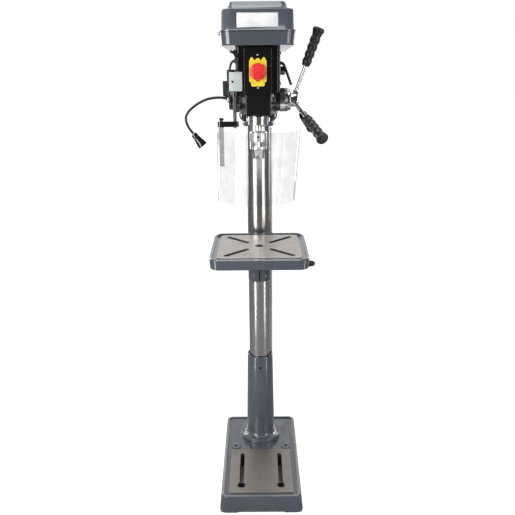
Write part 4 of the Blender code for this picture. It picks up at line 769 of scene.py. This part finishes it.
def dress_quill_and_chuck():
    dressed("quill", "ground_steel", 0.0004)
    dressed("quill_bearing", "turned_steel", 0.0003)
    low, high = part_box("spindle")
    spindle = [
        (0, low.z), (0.0075, low.z), (0.009, 1.213), (0.009, 1.2143), (0.010, 1.2152),
        (0.010, high.z - 0.0012), (0.0088, high.z), (0, high.z),
    ]
    turned_part("spindle", spindle, "ground_steel", centre=SPINDLE, segments=48)
    body = cad_copy("chuck_body")
    piece("chuck_body_finished", body, "chrome", "spindle_body", ("chuck_body",), 0.0004, 30)
    bottom, top = 1.164, 1.189
    sleeve = [(0.0223, bottom), (0.0243, bottom), (0.0250, bottom + 0.0008)]
    rings = 12
    band = (top - bottom - 0.011) / rings
    for ring in range(rings):
        at = bottom + 0.008 + ring * band
        sleeve += [(0.0255, at), (0.0251, at + band / 2)]
    sleeve += [(0.0255, top - 0.0022), (0.0252, top - 0.0004), (0.0248, top), (0.0223, top)]
    turned_part("chuck_sleeve", sleeve, "chrome", centre=SPINDLE)
    teeth = []
    count = 30
    for tooth in range(count):
        shape = block((0.0236, -0.0013, bottom - 0.0002), (0.0253, 0.0013, bottom + 0.0066), 0.0004, 1)
        teeth.append(swung(shape, math.tau * tooth / count, "Z", SPINDLE))
    piece("chuck_sleeve_teeth", merged(*teeth), "chrome", "sleeve")
    # Each key hole is a thin black disc on the chuck body: painted shade in place of a hole.
    for hole in range(3):
        angle = math.radians(30 + 120 * hole)
        way = Vector((math.cos(angle), math.sin(angle), 0))
        ring = [(0, 0.0254), (0.0032, 0.0254), (0.0032, 0.02562), (0, 0.02562)]
        disc = turned(ring, way, SPINDLE + Vector((0, 0, 1.1995)), 28)
        piece(f"chuck_key_hole_{hole + 1}", disc, "recess_shade_and_scale_ink", "spindle_body")
    for jaw in range(3):
        dressed(f"chuck_jaw_{jaw + 1}", "turned_steel", 0.0003)


# ---------------------------------------------------------------- switch


def dress_switch():
    dressed("switch_housing", "black_enamel", 0.0008)
    dressed("switch_flap", "yellow_plastic", 0.0007)
    low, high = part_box("stop_cap")
    face, back = low.y, high.y
    rim = face + 0.0115
    cap = [
        (0, -face), (0.010, -face - 0.0001), (0.0155, -face - 0.0006), (0.0190, -face - 0.0018),
        (0.0208, -face - 0.0034), (0.0218, -face - 0.0056), (0.0220, -face - 0.0075), (0.0220, -rim + 0.0008),
        (0.0214, -rim), (0.005, -rim),
        (0.005, -back), (0, -back),
    ]
    turned_part("stop_cap", cap, "red_plastic", (0, -1, 0), (0, 0, STOP_Z))
    low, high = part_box("start_button")
    button = [
        (0, -low.y), (0.0046, -low.y), (0.0058, -low.y - 0.0006), (0.0062, -low.y - 0.0016),
        (0.0062, -high.y), (0, -high.y),
    ]
    turned_part("start_button", button, "green_plastic", (0, -1, 0), (0, 0, START_Z), 48)
    flap_low, flap_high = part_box("switch_flap")
    for index, z in enumerate((flap_high.z + 0.0060, flap_low.z - 0.0045)):
        cross_screw(f"switch_screw_{index + 1}", (0, SWITCH_FRONT, z), (0, -1, 0), 0.0024, "frame")
    half, tongue_top = 0.0055, 1.3545
    tongue = block(
        (-half, flap_low.y - 0.0008, flap_low.z + 0.0125), (half, flap_low.y + 0.0006, tongue_top), 0.0006
    )
    piece("stop_tongue", tongue, "red_plastic", body_of_node["switch_flap"])
    cap_ring = [(0.0150, 0.0004), (0.0165, 0.0004), (0.0165, 0.0), (0.0150, 0.0)]
    spot = (0, face + 0.0006, STOP_Z)
    piece("stop_cap_ring", turned(cap_ring, (0, -1, 0), spot, 64), "red_plastic", "stop")


# ---------------------------------------------------------------- belt cover and drive


def dress_cover():
    dressed("belt_pan", "enamel", 0.0002, sharp=28)
    dressed("belt_lid", "enamel", 0.0, sharp=28)
    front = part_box("belt_lid")[0].y
    half_width, half_height = 0.0525, 0.0168
    plate = block((-half_width, -0.0012, -half_height), (half_width, 0.0, half_height), 0.0005)
    rim_width, rim_height = half_width + 0.0013, half_height + 0.0013
    rim = block((-rim_width, -0.0006, -rim_height), (rim_width, 0.0, rim_height), 0.0003)
    for name, bm, look in (("badge_plate", plate, "white_plate"), ("badge_rim", rim, "pulley_metal")):
        swung(bm, math.radians(-3.4), "X", (0, front + 0.0031, 1.5040))
        piece(name, bm, look, "lid")
    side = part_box("belt_pan")[1].x
    catch = merged(
        block((side - 0.0005, -0.066, 1.4560), (side + 0.0030, -0.040, 1.4735), 0.0006),
        block((side + 0.0010, -0.061, 1.4640), (side + 0.0060, -0.045, 1.4700), 0.0010),
    )
    piece("lid_catch", catch, "black_enamel", "frame")
    keeper = block((side - 0.0008, -0.063, 1.4785), (side + 0.0030, -0.043, 1.4870), 0.0006)
    piece("lid_catch_keeper", keeper, "zinc", "lid")
    pin_head = [(0, 0), (0.0024, 0), (0.0024, 0.0009), (0.0012, 0.0016), (0, 0.0016)]
    for index, y in enumerate(HINGE_PLACES):
        for end in (-1, 1):
            pin = turned(pin_head, (0, end, 0), (HINGE_X, y + end * 0.0181, HINGE_Z), 24)
            piece(f"hinge_pin_{index + 1}_{'front' if end < 0 else 'back'}", pin, "zinc", "frame")


def step_pulley(node, steps, bore, centre, hub=None):
    """A step pulley with V-grooves. Where its widest step is the top one, the top is recessed."""
    profile = [(bore, PULLEY_LOW if hub is None else hub)]
    if hub is not None:
        profile += [(bore + 0.0045, hub), (bore + 0.0045, PULLEY_LOW)]
    for index, radius in enumerate(steps):
        z = PULLEY_LOW + index * STEP_RISE
        profile += [
            (radius - 0.0005, z), (radius, z + 0.0005), (radius - 0.0002, z + 0.0008),
            (radius - GROOVE, z + 0.0038), (radius - GROOVE, z + 0.0072), (radius - 0.0002, z + 0.0102),
            (radius, z + 0.0106),
        ]
    top = PULLEY_LOW + len(steps) * STEP_RISE
    if steps[-1] > steps[0]:
        profile += [(steps[-1] - 0.0005, top), (steps[-1] - 0.006, top), (steps[-1] - 0.010, top - 0.004),
                    (bore + 0.012, top - 0.004), (bore + 0.009, top), (bore, top)]
    else:
        profile += [(steps[-1] - 0.0005, top), (bore, top)]
    turned_part(node, profile, "pulley_metal", centre=centre)


def belt_loop(node, first, second, index):
    """A V-belt round two pulleys: its section swept along two arcs and two straight runs."""
    z = PULLEY_LOW + index * STEP_RISE
    root = 0.0005 - GROOVE
    section = [
        (0.0004, 0.0020), (0.0006, 0.0030), (0.0006, 0.0080),
        (0.0004, 0.0090), (root, 0.0068), (root, 0.0042),
    ]
    (near_y, near_radius), (far_y, far_radius) = sorted((first, second))
    lean = math.asin((near_radius - far_radius) / (far_y - near_y))
    bm = bmesh.new()
    across, ahead = math.cos(lean), math.sin(lean)
    start = [
        bm.verts.new(((far_radius + out) * across, far_y + (far_radius + out) * ahead, z + up))
        for out, up in section
    ]
    edges = [bm.edges.new(pair) for pair in zip(start, start[1:] + start[:1])]

    def swing(geometry, y, angle, steps):
        made = bmesh.ops.spin(bm, geom=geometry, cent=(0, y, 0), axis=(0, 0, 1), angle=angle, steps=steps)
        return [g for g in made["geom_last"] if isinstance(g, (bmesh.types.BMVert, bmesh.types.BMEdge))]

    def run(geometry, shift):
        edges = [g for g in geometry if isinstance(g, bmesh.types.BMEdge)]
        made = bmesh.ops.extrude_edge_only(bm, edges=edges)
        fresh = [g for g in made["geom"] if isinstance(g, (bmesh.types.BMVert, bmesh.types.BMEdge))]
        bmesh.ops.translate(bm, vec=shift, verts=[g for g in fresh if isinstance(g, bmesh.types.BMVert)])
        return fresh

    far_turn = math.pi - 2 * lean
    near_turn = math.pi + 2 * lean
    line = Vector((0, 0, 0))
    line.x = (near_radius - far_radius) * math.cos(math.pi - lean)
    line.y = near_y - far_y + (near_radius - far_radius) * math.sin(math.pi - lean)
    after_far = swing(start + edges, far_y, far_turn, 48)
    at_near = run(after_far, line)
    after_near = swing(at_near, near_y, near_turn, 48)
    back = Vector((0, 0, 0))
    back.x = (far_radius - near_radius) * math.cos(lean)
    back.y = far_y - near_y + (far_radius - near_radius) * math.sin(lean)
    run(after_near, back)
    cleaned(bm)
    piece(f"{node}_moulded", bm, "belt_rubber", body_of_node[node], (node,))


def dress_drive():
    hub_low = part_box("spindle_pulley")[0].z
    step_pulley("spindle_pulley", (0.045, 0.055, 0.065, 0.075), 0.0103, SPINDLE, hub_low)
    step_pulley("idler_pulley", (0.062, 0.052, 0.042, 0.032), 0.0083, IDLER)
    step_pulley("motor_pulley", (0.032, 0.042, 0.052, 0.062), 0.0083, MOTOR)
    dressed("idler_shaft", "ground_steel", 0.0004)
    dressed("motor_shaft", "ground_steel", 0.0004)
    belt_loop("front_belt", (SPINDLE.y, 0.055), (IDLER.y, 0.052), 1)
    belt_loop("rear_belt", (IDLER.y, 0.042), (MOTOR.y, 0.052), 2)


# ---------------------------------------------------------------- motor


def dress_motor():
    dressed("motor_body", "black_enamel", 0.0008)
    fins = []
    count = 36
    for fin in range(count):
        angle = math.tau * fin / count
        facing_box = math.cos(angle) < -0.62
        facing_plate = math.sin(angle) < -0.55
        if facing_box or facing_plate:
            continue
        shape = block((0.0690, -0.0011, 1.270), (0.0738, 0.0011, 1.402), 0.0006, 1)
        fins.append(swung(shape, angle, "Z", MOTOR))
    piece("motor_cooling_fins", merged(*fins), "black_enamel", "motor")
    for index, (y, z) in enumerate(((0.125, 1.322), (0.175, 1.322), (0.125, 1.378), (0.175, 1.378))):
        cross_screw(f"terminal_box_screw_{index + 1}", (-0.104, y, z), (-1, 0, 0), 0.0026, "motor")
    low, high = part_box("motor_fan_cover")
    outside = [
        (0, 0), (0.030, 0.0008), (0.046, 0.0032), (0.056, 0.0072), (0.0625, 0.0135), (0.0658, 0.022),
        (0.0672, 0.036),
    ]
    inside = [(0.0633, 0.022), (0.054, 0.0098), (0.030, 0.0034), (0, 0.0025)]
    profile = [
        *[(radius, low.z + up) for radius, up in outside], (0.0675, high.z), (0.0650, high.z),
        *[(radius, low.z + up) for radius, up in inside],
    ]
    turned_part("motor_fan_cover", profile, "black_enamel", centre=MOTOR)
    # The vents are black blocks sunk into the fan cover: painted shade in place of openings.
    slots = []
    for radius, number, drop in ((0.018, 8, 0.0003), (0.028, 12, 0.0007), (0.038, 16, 0.0020)):
        for index in range(number):
            at = low.z + drop
            slot = block((-0.0016, -0.0038, at - 0.0006), (0.0016, 0.0038, at + 0.0010), 0.0004, 1)
            bmesh.ops.translate(slot, vec=(radius, 0, 0), verts=slot.verts)
            slots.append(swung(slot, math.tau * index / number, "Z", MOTOR))
    piece("fan_cover_vents", merged(*slots), "recess_shade_and_scale_ink", "motor")
    dressed("motor_plate", "black_enamel", 0.0006)
    for index, (x, z) in enumerate(((-0.054, 1.335), (0.054, 1.335), (-0.054, 1.400), (0.054, 1.400))):
        hex_bolt(f"motor_plate_bolt_{index + 1}", (x, 0.0760, z), (0, 1, 0), 0.0052, "motor", "zinc")
    low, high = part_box("tension_lever")
    bend = (
        (0.064, 0), (0.0705, 0.0002), (0.0785, 0.0045), (0.0870, 0.0250), (0.1010, 0.0620), (0.1017, 0.0638),
    )
    route = [(x, LEVER_Y, LEVER_Z - drop) for x, drop in bend]
    lever_body = body_of_node["tension_lever"]
    slot = slot_of_node["tension_lever"]
    tube("tension_lever_bent", route, 0.0042, "black_enamel", lever_body, ("tension_lever",))
    pivot = [(0, low.x), (0.005, low.x), (0.005, 0.066), (0.0062, 0.0665), (0.0062, 0.0700), (0, 0.0712)]
    stub = turned(pivot, (1, 0, 0), (0, LEVER_Y, LEVER_Z), 32)
    piece("tension_lever_pivot", stub, "black_enamel", lever_body)
    dressed("motor_lock_knob", "black_enamel", 0.0006)


# ---------------------------------------------------------------- guard, lamp and leads


def dress_guard():
    dressed("guard_switch_box", "grey_plastic", 0.0016)
    low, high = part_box("guard_switch_box")
    inset = 0.0012
    near = (low.x + inset, low.y - inset, low.z + inset)
    lid = block(near, (high.x - inset, low.y + 0.0003, high.z - inset), 0.0007)
    piece("guard_box_lid", lid, "grey_plastic", "frame")
    spot = (low.x + 0.009, low.y - inset, (low.z + high.z) / 2)
    cross_screw("guard_box_screw", spot, (0, -1, 0), 0.0031, "frame", "blackened")
    profile = [(0.0037, 0), (0.0072, 0), (0.0072, 0.005), (0.0060, 0.0075), (0.0037, 0.0075)]
    nut = turned(profile, (0, 0, 1), (-0.055, GUARD_Y, high.z + 0.0002), 24)
    piece("guard_box_gland", nut, "lead_sheath", "frame")
    dressed("guard_arm", "black_enamel", 0.0006)
    dressed("guard_strip", "strip_grey", 0.0005)
    dressed("guard_shield", "clear_plastic", 0.0, sharp=50)
    arm_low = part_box("guard_arm")[0].z
    low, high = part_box("guard_strip")
    knob = [(0, -0.0005), (0.0042, -0.0005), (0.0042, 0.0030), (0.0062, 0.0034)]
    knob += [(0.0064 - 0.0003 * (ridge % 2), 0.0040 + 0.0005 * ridge) for ridge in range(9)]
    knob += [(0.0058, 0.0090), (0, 0.0094)]
    spot = ((low.x + high.x) / 2, GUARD_Y, arm_low + ARM_THICK)
    piece("guard_arm_knob", turned(knob, centre=spot, segments=SMALL_TURNS), "grip_plastic", "guard")
    hex_bolt("guard_arm_nut", (GUARD_ROD_X, GUARD_Y, arm_low), (0, 0, -1), 0.0056, "guard", "zinc")


def dress_lamp():
    dressed("lamp_base", "grip_plastic", 0.0008)
    rocker = block((-0.092, -0.1352, 1.313), (-0.074, -0.1338, 1.3215), 0.0005)
    piece("lamp_rocker", rocker, "lead_sheath", "frame")
    bend = (
        (-0.0983, 1.3035), (-0.1209, 1.3048), (-0.1494, 1.3010), (-0.1767, 1.2897), (-0.2026, 1.2714),
        (-0.2154, 1.2551), (-0.2181, 1.2423), (-0.2148, 1.2275), (-0.2071, 1.2127), (-0.1975, 1.2005),
    )
    tube(
        "gooseneck_ribbed", [(x, LAMP_Y, z) for x, z in bend], 0.0040, "lead_sheath", "frame",
        ("gooseneck",), 0.0005, 0.0011,
    )
    root = Vector((-0.1972, LAMP_Y, 1.2001))
    aim = Vector((0.606, 0, -0.795)).normalized()
    cone = [
        (0, 0.0005), (0.0070, 0.0005), (0.0085, 0.0015), (0.0090, 0.003), (0.0096, 0.012), (0.0088, 0.0125),
        (0.0088, 0.0140), (0.0098, 0.0145), (0.0104, 0.021), (0.0128, 0.032), (0.0142, 0.0385),
        (0.0145, 0.0405), (0.0145, 0.0455),
        (0.0141, 0.046), (0.0125, 0.046), (0.0125, 0.042), (0, 0.042),
    ]
    turned_part("lamp_head", cone, "black_enamel", aim, root, 64)
    lens = [(0, 0.0423), (0.0122, 0.0423), (0.0122, 0.0441), (0.0100, 0.0446), (0.005, 0.0450), (0, 0.0450)]
    turned_part("lamp_lens", lens, "lens_plastic", aim, root, 64)


def dress_leads():
    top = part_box("guard_lead")[0].z
    climb = (
        (-0.055, 0, top), (-0.055, 0, 1.392), (-0.057, 0.001, 1.407), (-0.062, 0.007, 1.422),
        (-0.070, 0.018, 1.429), (-0.074, 0.030, 1.430), (-0.071, 0.040, 1.429), (-0.066, 0.042, 1.429),
        (-0.0615, 0.042, 1.429),
    )
    tube(
        "guard_lead_sheath", [(x, GUARD_Y + y, z) for x, y, z in climb],
        0.0035, "lead_sheath", "frame", ("guard_lead",),
    )
    hang = (
        (-0.0615, 1.406), (-0.067, 1.406), (-0.0740, 1.399), (-0.0785, 1.382), (-0.0800, 1.360),
        (-0.0802, 1.340), (-0.0800, 1.320), (-0.0794, 1.302), (-0.0765, 1.287), (-0.0700, 1.276),
        (-0.0620, 1.272), (-0.0520, 1.271),
    )
    tube(
        "lamp_lead_sheath", [(x, LAMP_LEAD_Y, z) for x, z in hang],
        0.003, "lead_sheath", "frame", ("lamp_lead",),
    )
    glands = (("guard", 1.429, GUARD_Y + 0.042, 0.0035), ("lamp", 1.406, LAMP_LEAD_Y, 0.003))
    for name, z, lead_y, radius in glands:
        bore = radius + 0.0002
        gland = [(bore, 0), (0.0068, 0), (0.0068, 0.0035), (0.0055, 0.0060), (bore, 0.0060)]
        nut = turned(gland, (-1, 0, 0), (-0.0600, lead_y, z), 28)
        piece(f"{name}_lead_gland", nut, "lead_sheath", "frame")


# ---------------------------------------------------------------- studio


def lay_paper(name, sheet, paper_name, shade):
    """A flat sheet under the machine, and the nodes of its paper."""
    mesh = bpy.data.meshes.new(name)
    sheet.to_mesh(mesh)
    sheet.free()
    laid = bpy.data.objects.new(name, mesh)
    bpy.context.scene.collection.objects.link(laid)
    paper = bpy.data.materials.new(paper_name)
    paper.use_nodes = True
    paper.node_tree.nodes["Principled BSDF"].inputs["Base Color"].default_value = (shade, shade, shade, 1)
    mesh.materials.append(paper)
    return laid, paper.node_tree


def set_floor():
    """White to the eye and through clear plastic, and dim to every other ray."""
    floor = bmesh.new()
    bmesh.ops.create_grid(floor, x_segments=1, y_segments=1, size=30)
    ground, tree = lay_paper("studio_floor", floor, "studio_floor_paper", 0.22)
    ground.location.z = -0.0003
    paper = tree.nodes["Principled BSDF"].inputs
    paper["Roughness"].default_value = 0.95
    paper["Specular IOR Level"].default_value = 0.1
    paper["Emission Color"].default_value = (1, 1, 1, 1)
    path = tree.nodes.new("ShaderNodeLightPath")
    looked_at = maths(tree, "MAXIMUM", path.outputs["Is Camera Ray"], path.outputs["Is Transmission Ray"])
    tree.links.new(ranged(tree, looked_at, 0.0, 1.0, 0.03, 1.0), paper["Emission Strength"])


def set_unlit_patch():
    """A patch that doesn't glow, under the base, a little smaller than it."""
    shade = bmesh.new()
    low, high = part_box("base_plate")
    bmesh.ops.create_grid(shade, x_segments=1, y_segments=1, size=0.5)
    margin = 0.006
    bmesh.ops.scale(shade, vec=(high.x - low.x - margin, high.y - low.y - margin, 1), verts=shade.verts)
    bmesh.ops.translate(shade, vec=(0, (low.y + high.y) / 2, -0.0001), verts=shade.verts)
    under_base = lay_paper("floor_under_base", shade, "unlit_floor_paper", 0.45)[0]


def set_air():
    """White behind the machine; in reflections, light comes from behind and a little from the left."""
    world = bpy.data.worlds.new("studio_air")
    bpy.context.scene.world = world
    world.use_nodes = True
    tree = world.node_tree
    sky = tree.nodes["Background"]
    path = tree.nodes.new("ShaderNodeLightPath")
    way = tree.nodes.new("ShaderNodeTexCoord")
    apart = tree.nodes.new("ShaderNodeSeparateXYZ")
    tree.links.new(way.outputs["Generated"], apart.inputs[0])
    behind = ranged(tree, apart.outputs["Y"], -0.10, 0.80, 0.0, 0.80)
    left_side = ranged(tree, apart.outputs["X"], -0.30, -0.95, 0.0, 0.30)
    level = maths(tree, "ADD", maths(tree, "ADD", behind, left_side), 0.055)
    air = mixed(tree, level, (0, 0, 0, 1), (1.0, 1.0, 1.02, 1))
    plain_view = maths(tree, "MAXIMUM", path.outputs["Is Camera Ray"], path.outputs["Is Transmission Ray"])
    seen = mixed(tree, plain_view, air, (1.0, 1.0, 1.0, 1))
    tree.links.new(seen, sky.inputs["Color"])
    sky.inputs["Strength"].default_value = 1.0


def set_lights():
    aim = Vector((0, -0.1, 0.95))
    for name, spot, size, power in (
        ("softbox_left", (-1.75, -2.5, 1.5), (0.9, 2.6), 52),
        ("softbox_right", (1.94, -2.15, 1.4), (0.45, 2.6), 22),
        ("softbox_top", (-0.2, -0.6, 3.4), (2.0, 1.6), 36),
        ("low_strip_left", (-0.95, -0.95, 0.9), (0.16, 2.2), 9),
        ("low_strip_right", (1.00, -0.70, 0.9), (0.07, 2.2), 4),
        ("strip_back_left", (-1.6, 1.9, 1.6), (0.4, 2.4), 18),
        ("strip_back_right", (1.7, 1.8, 1.6), (0.4, 2.4), 18),
    ):
        light = bpy.data.lights.new(name, "AREA")
        light.shape = "RECTANGLE"
        light.size, light.size_y = size
        light.energy = power
        lamp = bpy.data.objects.new(name, light)
        lamp.location = spot
        lamp.rotation_mode = "QUATERNION"
        lamp.rotation_quaternion = (aim - Vector(spot)).to_track_quat("-Z", "Y")
        bpy.context.scene.collection.objects.link(lamp)
    bpy.context.scene.view_settings.view_transform = "Standard"


def set_camera():
    """Eye height, looking down 18 degrees, with half a degree of roll."""
    pitch, yaw, roll = math.radians(17.943), -0.003275, -0.009173
    ahead = Vector((math.sin(yaw) * math.cos(pitch), math.cos(yaw) * math.cos(pitch), -math.sin(pitch)))
    right = Vector((math.cos(yaw), -math.sin(yaw), 0))
    up = right.cross(ahead)
    across = math.cos(roll) * right + math.sin(roll) * up
    above = -math.sin(roll) * right + math.cos(roll) * up
    camera = bpy.data.cameras.new("camera")
    camera.lens = 39.93
    camera.sensor_width = 36
    view = bpy.data.objects.new("camera", camera)
    stand = (-0.00035, -1.88567, 1.37489)
    view.matrix_world = Matrix.Translation(stand) @ Matrix((across, above, -ahead)).transposed().to_4x4()
    bpy.context.scene.collection.objects.link(view)
    bpy.context.scene.camera = view


set_camera()
set_floor()
set_unlit_patch()
set_air()
set_lights()
dress_base()
dress_column()
dress_table()
dress_head()
dress_spring_housing()
dress_feed()
dress_quill_and_chuck()
dress_switch()
dress_cover()
dress_drive()
dress_motor()
dress_guard()
dress_lamp()
dress_leads()
